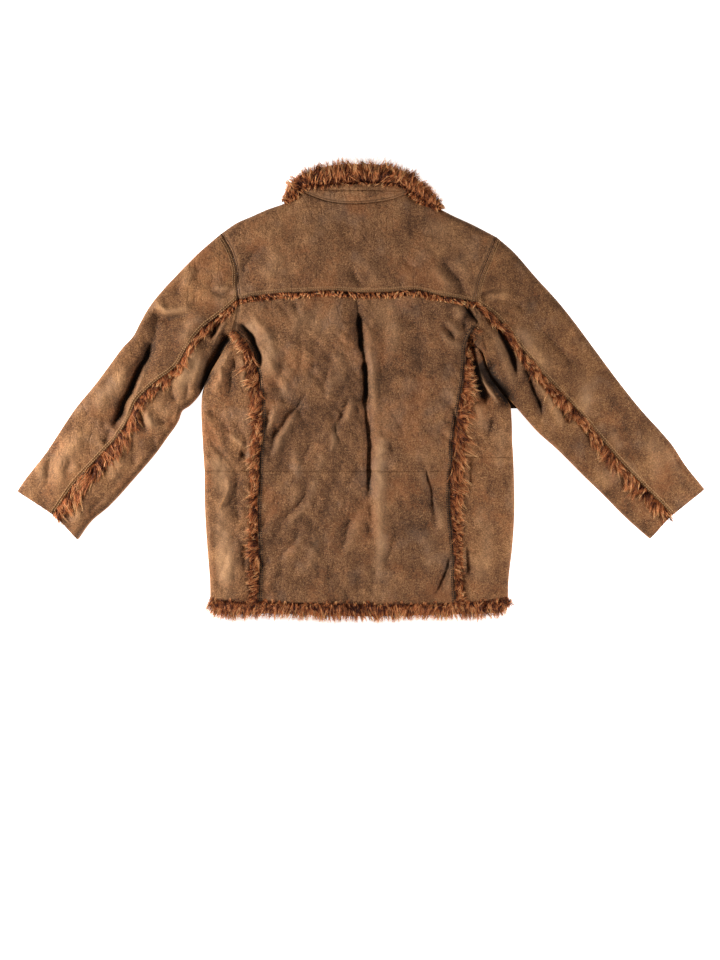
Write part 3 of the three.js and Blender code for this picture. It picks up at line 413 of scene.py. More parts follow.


# The hide
# Sheepskin tanned with the wool on and worn suede side out. The suede is brown and speckled by its nap. Its
# folds get painted shade in their hollows and painted highlight on their ridges and edges, and it is paler
# where it is worn. All the cut pieces are of it.
class Shade:
    """A value in a material's nodes. Python's own signs add the Math nodes."""

    def __init__(self, tree, socket=None):
        self.tree, self.socket = tree, socket

    def node(self, kind, settings=None, values=None, output=0):
        """Adds a node, with its settings first and then the values or links of its sockets."""
        made = self.tree.nodes.new("ShaderNode" + kind)
        for name, setting in (settings or {}).items():
            if name == "stops":
                ramp = made.color_ramp
                while len(ramp.elements) < len(setting):
                    ramp.elements.new(0.5)
                for element, (place, colour) in zip(ramp.elements, setting):
                    element.position, element.color = place, colour
            else:
                setattr(made, name, setting)
        for name, value in (values or {}).items():
            if isinstance(value, Shade):
                self.tree.links.new(value.socket, made.inputs[name])
            else:
                made.inputs[name].default_value = value
        return Shade(self.tree, made.outputs[output]) if len(made.outputs) else made

    def math(self, operation, first, second):
        return self.node("Math", {"operation": operation}, {0: first, 1: second})

    def __add__(self, other):
        return self.math("ADD", self, other)

    def __radd__(self, other):
        return self.math("ADD", other, self)

    def __sub__(self, other):
        return self.math("SUBTRACT", self, other)

    def __rsub__(self, other):
        return self.math("SUBTRACT", other, self)

    def __mul__(self, other):
        return self.math("MULTIPLY", self, other)

    def clamped(self):
        return self.node("Clamp", {}, {"Value": self})

    def from_to(self, low, high):
        """0 at low and 1 at high, with a soft turn at both."""
        return self.node("MapRange", {"interpolation_type": "SMOOTHSTEP"},
                         {"Value": self, "From Min": low, "From Max": high})

    def noise(self, size, detail, roughness, stretch=(1, 1, 1)):
        """Noise whose patches are about size millimetres wide."""
        place = self.node("TexCoord", output=3)
        stretched = self.node("Mapping", {}, {"Vector": place, "Scale": stretch})
        return self.node("TexNoise", {}, {"Vector": stretched, "Scale": 1 / (size * MM), "Detail": detail,
                                          "Roughness": roughness})

    def wrinkles(self, size, turn, shift):
        """Fine wrinkles, 1 along their lines and 0 between them, that run mostly one way."""
        scale = 1 / (size * MM)
        place = self.node("TexCoord", output=3)
        waver = self.node("TexNoise", {}, {"Vector": place, "Scale": scale, "Detail": 2.0}, output=1)
        waver = self.node("VectorMath", {"operation": "SCALE"}, {0: waver, "Scale": 0.45 * size * MM})
        moved = self.node("VectorMath", {"operation": "ADD"}, {0: place, 1: waver})
        turned = self.node("Mapping", {}, {"Vector": moved, "Rotation": (0, 0, turn),
                                           "Scale": (1.0, 0.38, 1.0), "Location": (shift, 0, 0)})
        apart = self.node("TexVoronoi", {"feature": "DISTANCE_TO_EDGE"}, {"Vector": turned, "Scale": scale})
        return 1 - apart.from_to(0.0, 0.085)

    def attribute(self, name):
        return self.node("Attribute", {"attribute_name": name}, output=2)

    def mix(self, share, first, second):
        return self.node("Mix", {"data_type": "RGBA"}, {0: share, 6: first, 7: second}, output=2)


def colour(red, green, blue):
    """A colour as a screen shows it, from 0 to 255, turned into the light it stands for."""
    parts = [value / 255 for value in (red, green, blue)]
    return (*(p / 12.92 if p <= 0.04045 else ((p + 0.055) / 1.055) ** 2.4 for p in parts), 1.0)


def new_material(name):
    material = bpy.data.materials.new(name)
    material.use_nodes = True
    material.node_tree.nodes.clear()
    return material, Shade(material.node_tree)


def finish_material(shade, base, roughness, bump, bump_height, specular=0.35):
    """Joins a colour, a roughness and a bump to the shader."""
    normal = shade.node("Bump", {}, {"Strength": 1.0, "Distance": bump_height, "Height": bump})
    surface = shade.node("BsdfPrincipled", {}, {
        "Base Color": base, "Roughness": roughness, "Normal": normal, "Specular IOR Level": specular})
    shade.node("OutputMaterial", {}, {"Surface": surface})


STITCH_ROW = 4.2  # how far the first row of topstitching is from its seam, and the second from the first
SEAM_BAND = 2.6 * STITCH_ROW  # how far the pressed strip that holds the rows reaches
SUEDE = [(0.15, (42, 26, 14)), (0.38, (82, 52, 31)), (0.52, (112, 75, 47)), (0.68, (144, 101, 65)),
         (0.92, (198, 149, 101))]  # tones from the darkest to the palest nap, and where each comes


def make_hide(name, light=1.0, warmth=0.0):
    """The suede. light is how much paler this copy is painted than the back's: painted light, for how
    brightly the part that wears it is lit. warmth is how much redder it is.
    """
    material, shade = new_material(name)

    def lit(*tone):
        return colour(*(part * light for part in tone))

    broad = shade.noise(120, 3.0, 0.55)
    patches = shade.noise(38, 4.0, 0.6)
    drawn = shade.noise(14, 3.0, 0.6, stretch=(1.0, 0.35, 1.0))
    nap = shade.noise(4.2, 3.0, 0.6)
    grain = shade.noise(2.0, 2.0, 0.7)
    ridge, hollow, edge, rub, seam = map(shade.attribute, ("ridge", "hollow", "edge", "rub", "seam"))
    creased = shade.noise(60, 2.0, 0.5).from_to(0.42, 0.62)
    wrinkle = (shade.wrinkles(26, 0.5, 0.1) + shade.wrinkles(19, -0.7, 0.3) * 0.7) * creased
    # ridges are painted paler as highlight, and hollows and the fine wrinkles darker as shade; worn places
    # and painted sheen are paler
    value = 0.52 + ridge * 0.17 - hollow * 0.19 + rub * 0.12 - wrinkle * 0.03
    for speckle, strength in ((broad, 0.38), (patches, 0.42), (drawn, 0.25), (nap, 0.36), (grain, 0.95)):
        value = value + (speckle - 0.5) * strength
    tint = (light, light * (1 - 0.03 * warmth), light * (1 - 0.12 * warmth))
    stops = [(place, colour(*(part * gain for part, gain in zip(tone, tint)))) for place, tone in SUEDE]
    base = shade.node("ValToRGB", {"stops": stops}, {"Fac": value.clamped()})
    orange = (shade.noise(72, 3.0, 0.6) + (nap - 0.5) * 0.5).from_to(0.48, 0.70) * 0.4
    base = shade.mix(orange, base, lit(140, 84, 47))
    grey = (shade.noise(52, 2.0, 0.5) + (nap - 0.5) * 0.2).from_to(0.54, 0.72) * 0.24
    base = shade.mix(grey, base, lit(126, 98, 77))
    # paler tan on ridges as painted highlight, and on worn places and painted sheen
    base = shade.mix((rub + ridge * 0.7).clamped() * 0.5, base, lit(160, 125, 93))
    light_specks = (shade.noise(1.9, 1.0, 0.5) * 0.8 + patches * 0.2).from_to(0.56, 0.68) * 0.45
    base = shade.mix(light_specks, base, lit(190, 142, 95))
    # golden along scratches, and along folded edges as a painted rim highlight
    golden = (edge + (nap - 0.5) * 0.9).from_to(0.45, 0.9) * 0.55
    base = shade.mix(golden, base, colour(184, 126, 73))
    # near black deep in the folds: painted shade
    base = shade.mix(hollow.from_to(1.6, 3.0) * 0.86, base, colour(20, 10, 5))
    band = seam.from_to(SEAM_BAND, 2.0 * STITCH_ROW)
    base = shade.mix(band * 0.1, base, colour(178, 134, 92))
    # dark lines along the rows of stitching: painted shade in their grooves
    row = shade.node("Math", {"operation": "PINGPONG"}, {0: seam + STITCH_ROW, 1: STITCH_ROW})
    rows = row.from_to(1.7, 0.3) * seam.from_to(SEAM_BAND, 2.4 * STITCH_ROW)
    base = shade.mix(rows * 0.45, base, colour(46, 28, 17))
    # dark right at the seam: painted shade in its crease
    base = shade.mix(seam.from_to(1.6, 0.4) * 0.7, base, colour(30, 17, 10))
    rough = 0.9 - patches * 0.2 - grey * 0.5
    bump = grain * 0.4 + nap * 0.9 + drawn + patches * 1.6 - rows * 0.9 - wrinkle * 0.45
    finish_material(shade, base, rough, bump, 0.001, specular=0.22)
    return material


# The sides' copy is painted paler and the sleeves' a little darker than the back's, as painted light for how
# brightly each part is lit.
hide_back = make_hide("suede_back")
hide_side = make_hide("suede_sides", light=1.07, warmth=0.2)
hide_sleeve = make_hide("suede_sleeves", light=0.99, warmth=0.5)
THICKNESS = 2.2

# Pale greyish patches, partly wear and partly painted sheen and highlight where the light falls strongest,
# and golden scratches, some of which are painted rim light along the left edge: from, to, half width,
# strength.
WearAndHighlight = namedtuple("WearAndHighlight", "start end spread strength")
WEAR_AND_HIGHLIGHTS = [
    WearAndHighlight((-222, 138), (-196, 98), 10, 0.9),
    WearAndHighlight((-200, 96), (-180, 30), 12, 0.4),
    WearAndHighlight((-318, 60), (-346, -12), 13, 0.9),
    WearAndHighlight((-420, -44), (-392, -72), 10, 0.7),
    WearAndHighlight((-300, 66), (-320, 40), 12, 0.6),
    WearAndHighlight((36, -80), (42, -230), 10, 0.7),
    WearAndHighlight((42, -230), (30, -390), 9, 0.5),
    WearAndHighlight((-88, -166), (-92, -200), 7, 0.5),
    WearAndHighlight((-120, 150), (-60, 110), 18, 0.35),
    WearAndHighlight((20, 170), (60, 120), 18, 0.3),
    WearAndHighlight((-50, -60), (-48, -110), 6, 0.6),
    WearAndHighlight((-272, -110), (-262, -210), 16, 0.9),
    WearAndHighlight((-264, -240), (-258, -400), 18, 1.0),
    WearAndHighlight((244, -230), (240, -380), 12, 0.4),
    WearAndHighlight((250, 120), (286, 70), 9, 0.5),
    WearAndHighlight((236, 64), (276, 4), 6, 0.3),
    WearAndHighlight((428, 18), (432, -40), 13, 0.6),
    WearAndHighlight((330, 60), (372, -4), 10, 0.4),
    WearAndHighlight((130, 330), (170, 290), 20, 0.35),
    WearAndHighlight((-290, 176), (-250, 176), 12, 0.5),
    WearAndHighlight((-560, -100), (-630, -190), 14, 0.4),
    WearAndHighlight((560, -80), (640, -185), 14, 0.35),
]
# golden scratches; the lines near the left edge are painted rim light
SCRATCHES_AND_RIM_LIGHT = [
    WearAndHighlight((-252, -186), (-279, -244), 1.8, 1.2),
    WearAndHighlight((-279, -270), (-292, -292), 1.5, 0.8),
    WearAndHighlight((-94, -160), (-94, -192), 1.5, 0.7),
    WearAndHighlight((-240, 192), (-262, 186), 2.0, 0.7),
    WearAndHighlight((-296, -30), (-300, -110), 3.0, 0.7),
    WearAndHighlight((-300, -120), (-302, -200), 2.6, 0.8),
    WearAndHighlight((-292, 78), (-305, 52), 1.6, 0.5),
]


def wear_and_highlight_at(x, y, marks):
    """How much wear and painted highlight some marks lay on the points x, y; each fades out towards its ends.
    """
    amount = np.zeros(np.shape(x))
    for rub in marks:
        share, distance = beside(x, y, rub.start, rub.end)
        fade = np.sin(np.pi * np.clip(share, 0.1, 0.9))
        amount += rub.strength * fade * np.exp(-((distance / rub.spread) ** 2))
    return amount


def add_object(name, data):
    made = bpy.data.objects.new(name, data)
    bpy.context.scene.collection.objects.link(made)
    return made


def add_grid(name, columns, rows, size):
    """A flat grid as a mesh."""
    bm = bmesh.new()
    bmesh.ops.create_grid(bm, x_segments=columns, y_segments=rows, size=size)
    mesh = bpy.data.meshes.new(name)
    bm.to_mesh(mesh)
    bm.free()
    return mesh


def set_attributes(mesh, attributes):
    for key, values in attributes.items():
        mesh.attributes.new(key, "FLOAT", "POINT").data.foreach_set("value", np.asarray(values, float))


def add_piece(name, mesh, material):
    """Makes a mesh a piece of the coat."""
    mesh.materials.append(material)
    piece = add_object(name, mesh)
    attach(piece, "root")
    return piece


def lay_sheet(name, grid, place, material, node, cut, thickness=THICKNESS,
              face_down=False):
    """Cuts a sheet as a grid of columns and rows, moves it to where it lies, and gives it its thickness.

    place takes the grid's shares across and along, and gives points in millimetres and attributes. cut, the
    sheet's flat size and area in metres, is not used. A sheet that lies face_down has its suede on the floor."""
    mesh = add_grid(name, *grid, size=0.5)
    flat_points = np.empty(3 * len(mesh.vertices))
    mesh.vertices.foreach_get("co", flat_points)
    u, v = flat_points.reshape(-1, 3)[:, 0] + 0.5, flat_points.reshape(-1, 3)[:, 1] + 0.5
    points, attributes = place(u, v)
    mesh.vertices.foreach_set("co", (points * MM).ravel())
    set_attributes(mesh, attributes)
    mesh.update()
    if turned_down(points, *grid) != face_down:
        mesh.flip_normals()
    mesh.polygons.foreach_set("use_smooth", [True] * len(mesh.polygons))
    piece = add_piece(name, mesh, material)
    solid = piece.modifiers.new("thickness", "SOLIDIFY")
    solid.thickness, solid.offset = thickness * MM, -1.0
    if node:
        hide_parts(node)


def turned_down(points, columns, rows):
    """Whether a sheet laid with its first column to the left and first row nearest faces the floor."""
    grid = points.reshape(rows + 1, columns + 1, 3)
    across = grid[:-1, 1, :2] - grid[:-1, 0, :2]
    along = grid[1:, 0, :2] - grid[:-1, 0, :2]
    return float(np.sum(across[:, 0] * along[:, 1] - across[:, 1] * along[:, 0])) < 0


FAR = 40.0  # past this no distance to a seam matters
DIP_REACH, PUCKER_REACH, PUCKER_SIZE = 3.6, 11, 6.5


def seam_sides(plan, u, v, sewn, furred):
    """How much a sheet's points are pulled down at its sides, and how far they are from a seam that shows.

    sewn and furred hold the depths of the pull at the sides whose seams show and at those under wool."""
    here = plan(u, v)
    zero = np.zeros_like(u)
    ends = {
        "left": plan(zero, v),
        "right": plan(zero + 1, v),
        "first": plan(u, zero),
        "last": plan(u, zero + 1),
    }
    pull, nearest = np.zeros_like(u), np.full_like(u, FAR)
    pucker = 0.12 * rumple(here[:, 0], here[:, 1], PUCKER_SIZE, 21)
    for side, depth in {**sewn, **furred}.items():
        distance = np.hypot(*(here - ends[side]).T)
        dip = np.exp(-((distance / DIP_REACH) ** 2)) + pucker * np.exp(-((distance / PUCKER_REACH) ** 2))
        pull += depth * dip
        if side in sewn:
            nearest = np.minimum(nearest, distance)
    return pull, nearest


# a ridge of this height gets its full painted highlight, and a hollow its full painted shade
FULL_FOLD = 8.0  # a ridge or hollow of this height shows in full


def panel(plan, sewn, furred):
    """Lays a flat-cut panel on the layer below: its points and attributes, for lay_sheet."""
    def place(u, v):
        x, y = plan(u, v).T
        height, ridge, hollow = lie(x, y)
        pull, seam = seam_sides(plan, u, v, sewn, furred)
        return np.column_stack([x, y, height - pull]), {
            "ridge": ridge / FULL_FOLD, "hollow": hollow / FULL_FOLD, "edge": wear_and_highlight_at(x, y, SCRATCHES_AND_RIM_LIGHT),
            "rub": wear_and_highlight_at(x, y, WEAR_AND_HIGHLIGHTS), "seam": seam}
    return place


def plain_look(u, **given):
    """The attributes of hide with no folds, wear, painted highlight, painted shade or seams, but for the
    given ones.
    """
    none = np.zeros_like(u)
    return {"ridge": none, "hollow": none, "edge": none, "rub": none, "seam": none + FAR, **given}


def cut_size(plan):
    """The width and length in metres of the piece of hide that a plan is cut from, and its area.

    A bent strip is measured as it was cut, before it was sewn to its curve."""
    t, zero = np.linspace(0, 1, 60), np.zeros(60)
    outline = np.vstack([plan(t, zero), plan(zero + 1, t), plan(t[::-1], zero + 1), plan(zero, t[::-1])])
    centred = outline - outline.mean(axis=0)
    length, width = np.ptp(centred @ np.linalg.svd(centred, full_matrices=False)[2].T, axis=0) * MM
    x, y = outline.T
    inside = abs(np.dot(x, np.roll(y, 1)) - np.dot(y, np.roll(x, 1))) / 2
    area = min(inside * MM * MM, width * length)
    return (max(area / length, width if area > 0.35 * width * length else 0), length), area


# The yoke
# The back's top piece, across the shoulders. It is cut in one and sewn to the sleeves at its ends. Along the
# shoulders it turns down to the fronts, and at the neck it is sewn into the collar's stand.
SIDES = ("left", "right")
YOKE_SEAM = smooth_line([(-234, 174), (-199, 181), (-162, 185), (-116, 187), (-59, 190), (-1, 187),
                         (57, 188), (103, 191), (141, 183), (180, 176), (221, 168)])
SHOULDERS = {
    "left": smooth_line([(-268, 302), (-239, 322), (-210, 335), (-178, 349), (-147, 360), (-130, 370),
                         (-112, 381)]),
    "right": smooth_line([(89, 377), (112, 365), (135, 356), (155, 348), (181, 335), (214, 320), (245, 304),
                          (262, 295)]),
}
NECK = smooth_line([(-112, 381), (-91, 372), (-68, 364), (-39, 359), (-3, 358), (37, 362), (64, 367),
                    (89, 377)])
ARMHOLES = {
    "left": smooth_line([(-234, 174), (-237, 204), (-238, 235), (-249, 270), (-268, 302)]),
    "right": smooth_line([(221, 168), (223, 189), (229, 214), (245, 254), (262, 295)]),
}
TURN_DOWN = 0.9  # the share of the armhole at which the shoulder starts to turn down
SHOULDER_SEAM = 12.6  # height at which the yoke meets the fronts
NECK_LEFT, NECK_RIGHT, NECK_FADE = -108, 85, 14  # its ends, and how soon the shoulders start past them
yoke_top = np.vstack([SHOULDERS["left"], NECK[1:], SHOULDERS["right"][1:]])


def by_x(line):
    """Reads a line that runs from left to right by shares of its width."""
    def points(share):
        x = line[0, 0] + (line[-1, 0] - line[0, 0]) * share
        return np.column_stack([x, np.interp(x, line[:, 0], line[:, 1])])
    return points


def side_lines(lines):
    """The left and right one of some lines, to be read by shares of their length."""
    return [by_share(lines[side]) for side in SIDES]


yoke_plan = fill(by_x(YOKE_SEAM), by_x(yoke_top), *side_lines(ARMHOLES))


def place_yoke(u, v):
    points, attributes = panel(yoke_plan, {"first": 2.5, "left": 2.0, "right": 2.0}, {})(u, v)
    turn = np.clip((v - TURN_DOWN) / (1 - TURN_DOWN), 0, 1)
    x = points[:, 0]
    off_neck = smooth_step((NECK_LEFT - x) / NECK_FADE) + smooth_step((x - NECK_RIGHT) / NECK_FADE)
    on_shoulder = 0.1 + 0.9 * off_neck
    down = (1 - np.sqrt(1 - turn**2)) * on_shoulder
    points[:, 2] += (SHOULDER_SEAM - points[:, 2]) * down
    # the shoulder's turned-down edge is painted golden as a rim highlight
    attributes["edge"] += smooth_step((turn - 0.8) / 0.2) * on_shoulder
    return points, attributes


lay_sheet("yoke", (150, 60), place_yoke, hide_back, "back_yoke", cut_size(yoke_plan))


# The back
# Two pieces below the yoke, sewn together at the waist. Their long sides run into the fur of the side seams,
# and a pleat stands in the middle of the upper one.
Section = namedtuple("Section", "y edge_left fur_left seam_left seam_right fur_right edge_right")
SECTIONS = [
    Section(-406, -289, -213, -199, 186, 199, 284),
    Section(-362, -290, -215, -197, 183, 199, 285),
    Section(-299, -295, -217, -197, 181, 198, 292),
    Section(-235, -299, -216, -200, 175, 200, 296),
    Section(-191, -300, -214, -198, 174, 204, 296),
    Section(-155, -300, -213, -197, 176, 206, 295),
    Section(-128, -302, -213, -196, 179, 208, 294),
    Section(-95, -304, -212, -193, 180, 209, 292),
    Section(-57, -306, -212, -191, 186, 212, 291),
    Section(-26, -306, -216, -192, 192, 216, 287),
    Section(1, -303, -218, -195, 197, 220, 268),
    Section(32, -290, -223, -199, 201, 222, 248),
    Section(59, -274, -227, -205, 203, 221, 238),
    Section(82, -261, -231, -213, 204, 222, 231),
    Section(101, -249, -244, -229, 210, 228, 232),
]
HEM = smooth_line([(-289, -402), (-251, -406), (-199, -407), (-116, -408), (-20, -410), (76, -411),
                   (185, -407), (249, -405), (284, -401)])
WAIST, WAIST_RIGHT, HEM_LEVEL, ARMPIT, ARMPIT_RIGHT = -155, -128, -406, 101, 82
YOKE_FUR = 10
UNDER_WOOL = 0.6  # a panel starts at this share of the wool strip's width from the seam above
LOWER_ARMHOLE = {"left": [(-243, 114), (-238, 143)], "right": [(224, 124), (227, 145)]}


def hem_at(x):
    return np.interp(x, HEM[:, 0], HEM[:, 1])


def section_line(column, low, high, tail=()):
    """The line that one column of the sections makes between two levels, as it meets the hem."""
    rows = [(getattr(s, column), s.y) for s in SECTIONS if low <= s.y <= high]
    points = [(x, hem_at(x) if y == HEM_LEVEL else y) for x, y in rows] + list(tail)
    return smooth_line(points)


below_yoke = YOKE_SEAM - np.array([0, YOKE_FUR])
under_wool = YOKE_SEAM - np.array([0, UNDER_WOOL * YOKE_FUR])
yoke_corners = {"left": tuple(under_wool[0]), "right": tuple(under_wool[-1])}
back_sides = {
    side: section_line("seam_" + side, WAIST, ARMPIT, LOWER_ARMHOLE[side] + [yoke_corners[side]])
    for side in SIDES
}
waist_line = np.vstack([back_sides[side][0] for side in SIDES])
upper_plan = fill(by_x(waist_line), by_x(under_wool), *side_lines(back_sides))
upper_back = panel(upper_plan, {"left": 2.5, "right": 2.5}, {"first": 0.5, "last": 3.0})
lay_sheet("upper_back", (168, 132), upper_back, hide_back, "back_upper", cut_size(upper_plan))

lower_sides = {side: section_line("seam_" + side, HEM_LEVEL, WAIST) for side in SIDES}
hem_left, hem_right = (lower_sides[side][0] for side in SIDES)
hem_between = np.vstack([hem_left, HEM[(HEM[:, 0] > hem_left[0]) & (HEM[:, 0] < hem_right[0])], hem_right])
lower_plan = fill(by_x(hem_between), by_x(waist_line), *side_lines(lower_sides))
lower_back = panel(lower_plan, {"left": 2.5, "right": 2.5}, {"first": 1.5, "last": 0.5})
lay_sheet("lower_back", (154, 96), lower_back, hide_back, "back_lower", cut_size(lower_plan))


# The sides
# Four pieces, an upper and a lower one at each side, that run from the back round the coat's edge to a seam
# under the one on top. The edge is a soft fold, painted pale along it as a rim highlight.
TURN = 13.0  # how far a folded edge takes to turn over, seen from above
TOP_SHARE, TURN_SHARE = 0.62, 0.8  # of a folded sheet's columns: those on top, and those up to the floor


def folded(plan, edge, second_seam, sewn, furred):
    """Lays a sheet that goes round a folded edge: on top, round, and back along the floor."""
    def place(u, v):
        on_top = np.clip(u / TOP_SHARE, 0, 1)
        turning = np.clip((u - TOP_SHARE) / (TURN_SHARE - TOP_SHARE), 0, 1)
        below = np.clip((u - TURN_SHARE) / (1 - TURN_SHARE), 0, 1)
        top_plan = plan(on_top, v)
        x, y = top_plan.T
        height, ridge, hollow = lie(x, y)
        pull, seam = seam_sides(plan, on_top, v, sewn, furred)
        height = height - pull * (turning == 0)
        angle = np.pi * (0.5 - turning)
        out = np.cos(angle)[:, None] * (edge(v) - top_plan) * (turning > 0)[:, None]
        level = np.where(turning > 0, height * (0.5 + 0.5 * np.sin(angle)), height)
        points = np.where((below > 0)[:, None], between(top_plan, second_seam(v), below), top_plan + out)
        hollow = np.where(turning > 0, lie(*(top_plan + out).T)[2] * (turning < 0.6), hollow)
        # a golden band painted along the fold as a rim highlight
        rim_highlight = np.exp(-(((turning - 0.5) / 0.22) ** 2)) * (turning > 0)
        return np.column_stack([points, np.where(below > 0, 0.0, level)]), {
            "ridge": ridge / FULL_FOLD * (below == 0), "hollow": hollow / FULL_FOLD,
            "edge": rim_highlight + wear_and_highlight_at(x, y, SCRATCHES_AND_RIM_LIGHT) * (turning == 0),
            "rub": wear_and_highlight_at(x, y, WEAR_AND_HIGHLIGHTS) * (turning == 0), "seam": np.where(turning > 0, FAR, seam)}
    return place


def inset_plan(seam, edge):
    """The part of a folded sheet that lies on top, from its seam to where it starts to turn over."""
    def plan(u, v):
        start, finish = seam(v), edge(v)
        width = np.maximum(np.hypot(*(finish - start).T), 0.1)
        return between(start, finish, u * (1 - np.minimum(TURN, 0.45 * width) / width))
    return plan


SIDE_ROW = 3.3  # length of a side piece's rows
SIDE_ROUND = 2.6  # a side piece's whole width, as a multiple of the width that shows on top


def inner_start(seam, fur):
    """Where the panel below a seam starts, under the wool that stands in the seam."""
    return lambda v: between(seam(v), fur(v), UNDER_WOOL)


def lay_side(side, part, low, high):
    fur, edge, seam = (
        by_share(section_line(f"{column}_{side}", low, high)) for column in ("fur", "edge", "seam")
    )
    start = inner_start(seam, fur)
    (width, length), area = cut_size(ruled(start, edge))
    under = cut_size(ruled(edge, seam))[1]
    place = folded(inset_plan(start, edge), edge, seam, {}, {"left": 3.0, "first": 0.6, "last": 0.6})
    rows = round((high - low) / SIDE_ROW)
    lay_sheet(f"{side}_side_{part}", (50, rows), place, hide_side, f"side_{side}_{part}",
              ((width * SIDE_ROUND, length), area + under))


lay_side("left", "upper", WAIST, ARMPIT)
lay_side("left", "lower", HEM_LEVEL, WAIST)
lay_side("right", "upper", WAIST_RIGHT, ARMPIT_RIGHT)
lay_side("right", "lower", HEM_LEVEL, WAIST_RIGHT)


# The sleeves
# Each is cut as an upper and an under piece. They meet at the furred seam down the back of the arm and at a
# plain one below it. Both long edges are soft folds, and the cuffs are cut straight.
SLEEVES = {
    "left": {
        "outer": [(-268, 302), (-310, 266), (-333, 243), (-377, 197), (-407, 160), (-425, 128), (-437, 105),
                  (-458, 82), (-475, 59), (-510, 12), (-548, -34), (-579, -80), (-610, -126), (-646, -172),
                  (-660, -193)],
        "seam": [(-234, 174), (-262, 149), (-301, 118), (-331, 80), (-352, 45), (-392, 14), (-427, -20),
                 (-441, -51), (-463, -87), (-502, -131), (-547, -180), (-588, -239)],
        "fur": [(-238, 161), (-258, 137), (-293, 105), (-322, 72), (-345, 32), (-381, 1), (-412, -30),
                (-427, -64), (-444, -107), (-485, -156), (-529, -204), (-575, -251)],
        "inner": [(-249, 105), (-262, 83), (-275, 59), (-291, 32), (-304, 2), (-312, -12), (-329, -30),
                  (-342, -39), (-350, -59), (-372, -91), (-396, -124), (-432, -166), (-483, -222),
                  (-517, -251), (-543, -287)],
    },
    "right": {
        "outer": [(262, 295), (295, 266), (335, 220), (377, 174), (414, 128), (448, 82), (500, 12),
                  (537, -34), (598, -103), (629, -149), (661, -189)],
        "seam": [(221, 168), (260, 139), (287, 107), (308, 78), (331, 51), (350, 28), (395, -19), (421, -47),
                 (444, -76), (473, -110), (505, -147), (540, -183), (579, -222), (596, -241)],
        "fur": [(229, 154), (262, 116), (289, 80), (314, 43), (339, 12), (368, -24), (406, -57), (439, -97),
                (468, -135), (494, -162), (529, -197), (558, -226), (583, -254)],
        "inner": [(234, 105), (233, 83), (240, 59), (250, 32), (270, 2), (288, -19), (296, -28), (310, -45),
                  (341, -80), (381, -116), (431, -166), (462, -196), (512, -246), (556, -285)],
    },
}
sleeve_lines = {
    side: {name: smooth_line(points) for name, points in lines.items()} for side, lines in SLEEVES.items()
}
ROOT_SHARE = 1 / 6  # the share of a sleeve's length in which it bends to its armhole


def root_along(plan, root):
    """Bends a sleeve piece's first row to the armhole that it is sewn into."""
    def bent(u, v):
        zero = np.zeros_like(u)
        straight = between(plan(zero, zero), plan(zero + 1, zero), u)
        return plan(u, v) + (root(u) - straight) * np.clip(1 - v / ROOT_SHARE, 0, 1)[:, None] ** 1.5
    return bent


UNDERLAP = 1.5  # how far a sleeve's under piece reaches below the body's edge
SLEEVE_WIDEST = 1.3  # a sleeve piece's greatest width, as a multiple of its mean one


def lay_sleeve(side):
    lines = sleeve_lines[side]
    outer, seam, fur, inner = (by_share(lines[name]) for name in ("outer", "seam", "fur", "inner"))
    length = length_of(lines["outer"]) * MM
    body = back_sides[side]
    underlap = np.array([UNDERLAP if side == "left" else -UNDERLAP, 0])
    low_armhole = np.vstack([body[body[:, 1] > ARMPIT][::-1] + underlap, inner(np.zeros(1))])
    high_armhole = at(ARMHOLES[side], np.linspace(0, 0.9, 80))
    parts = [
        ("upper", 60, seam, outer, high_armhole, {"left": 2.5, "first": 2.0}, {}),
        ("under", 42, inner_start(seam, fur), inner, low_armhole, {"first": 2.0}, {"left": 3.0}),
    ]
    for part, columns, start, edge, root, sewn, furred in parts:
        plan = root_along(inset_plan(start, edge), by_share(root))
        area = cut_size(ruled(start, edge))[1] + cut_size(ruled(seam, edge))[1]
        lay_sheet(f"{side}_sleeve_{part}", (columns, 160), folded(plan, edge, seam, sewn, furred),
                  hide_sleeve, f"sleeve_{side}_{part}", ((area / length * SLEEVE_WIDEST, length), area))


for side in SIDES:
    lay_sleeve(side)


# The armpits
# The hide goes on from the body to the sleeve at the bottom of each armpit, deep in the cleft, painted dark
# as the cleft's shade.
ARMPIT_LINES = {
    "left": smooth_line([(-246, 112), (-249, 106), (-261, 82), (-275, 59), (-290, 32), (-300, 12)]),
    "right": smooth_line([(230, 116), (233, 104), (233, 83), (240, 58), (250, 32), (268, 4), (283, -16),
                          (292, -34)]),
}
# the last number is how dark the armpit piece is painted, as the shade in the cleft
ARMPIT_HALF, ARMPIT_HEIGHT, ARMPIT_PAINTED_SHADE = 13.0, 4.5, 2.4


def lay_armpit(side):
    def plan(u, v):
        return at(ARMPIT_LINES[side], v) + np.column_stack([ARMPIT_HALF * (2 * u - 1), 0 * u])

    def place(u, v):
        return np.column_stack([plan(u, v), np.full_like(u, ARMPIT_HEIGHT)]), plain_look(
            u, hollow=np.full_like(u, ARMPIT_PAINTED_SHADE))

    lay_sheet(f"{side}_armpit", (8, 30), place, hide_side, None, cut_size(plan))


for side in SIDES:
    lay_armpit(side)


# The topstitching
# Two rows of stout thread hold each seam's edge flat. On the body's sides the thread is dark, at the yoke and
# the armholes brown, and down the sleeves it has worn pale.
STITCH, STITCH_PITCH = 2.8, 4.4


def make_thread(name, tone):
    material, shade = new_material(name)
    twist = shade.noise(1.2, 2.0, 0.5)
    base = shade.mix(twist, colour(*(part * 0.7 for part in tone)), colour(*tone))
    finish_material(shade, base, 0.8, twist, 0.0001)
    return material


pale_thread = make_thread("pale_thread", (206, 156, 104))
brown_thread = make_thread("brown_thread", (184, 138, 92))
dark_thread = make_thread("dark_thread", (26, 15, 9))


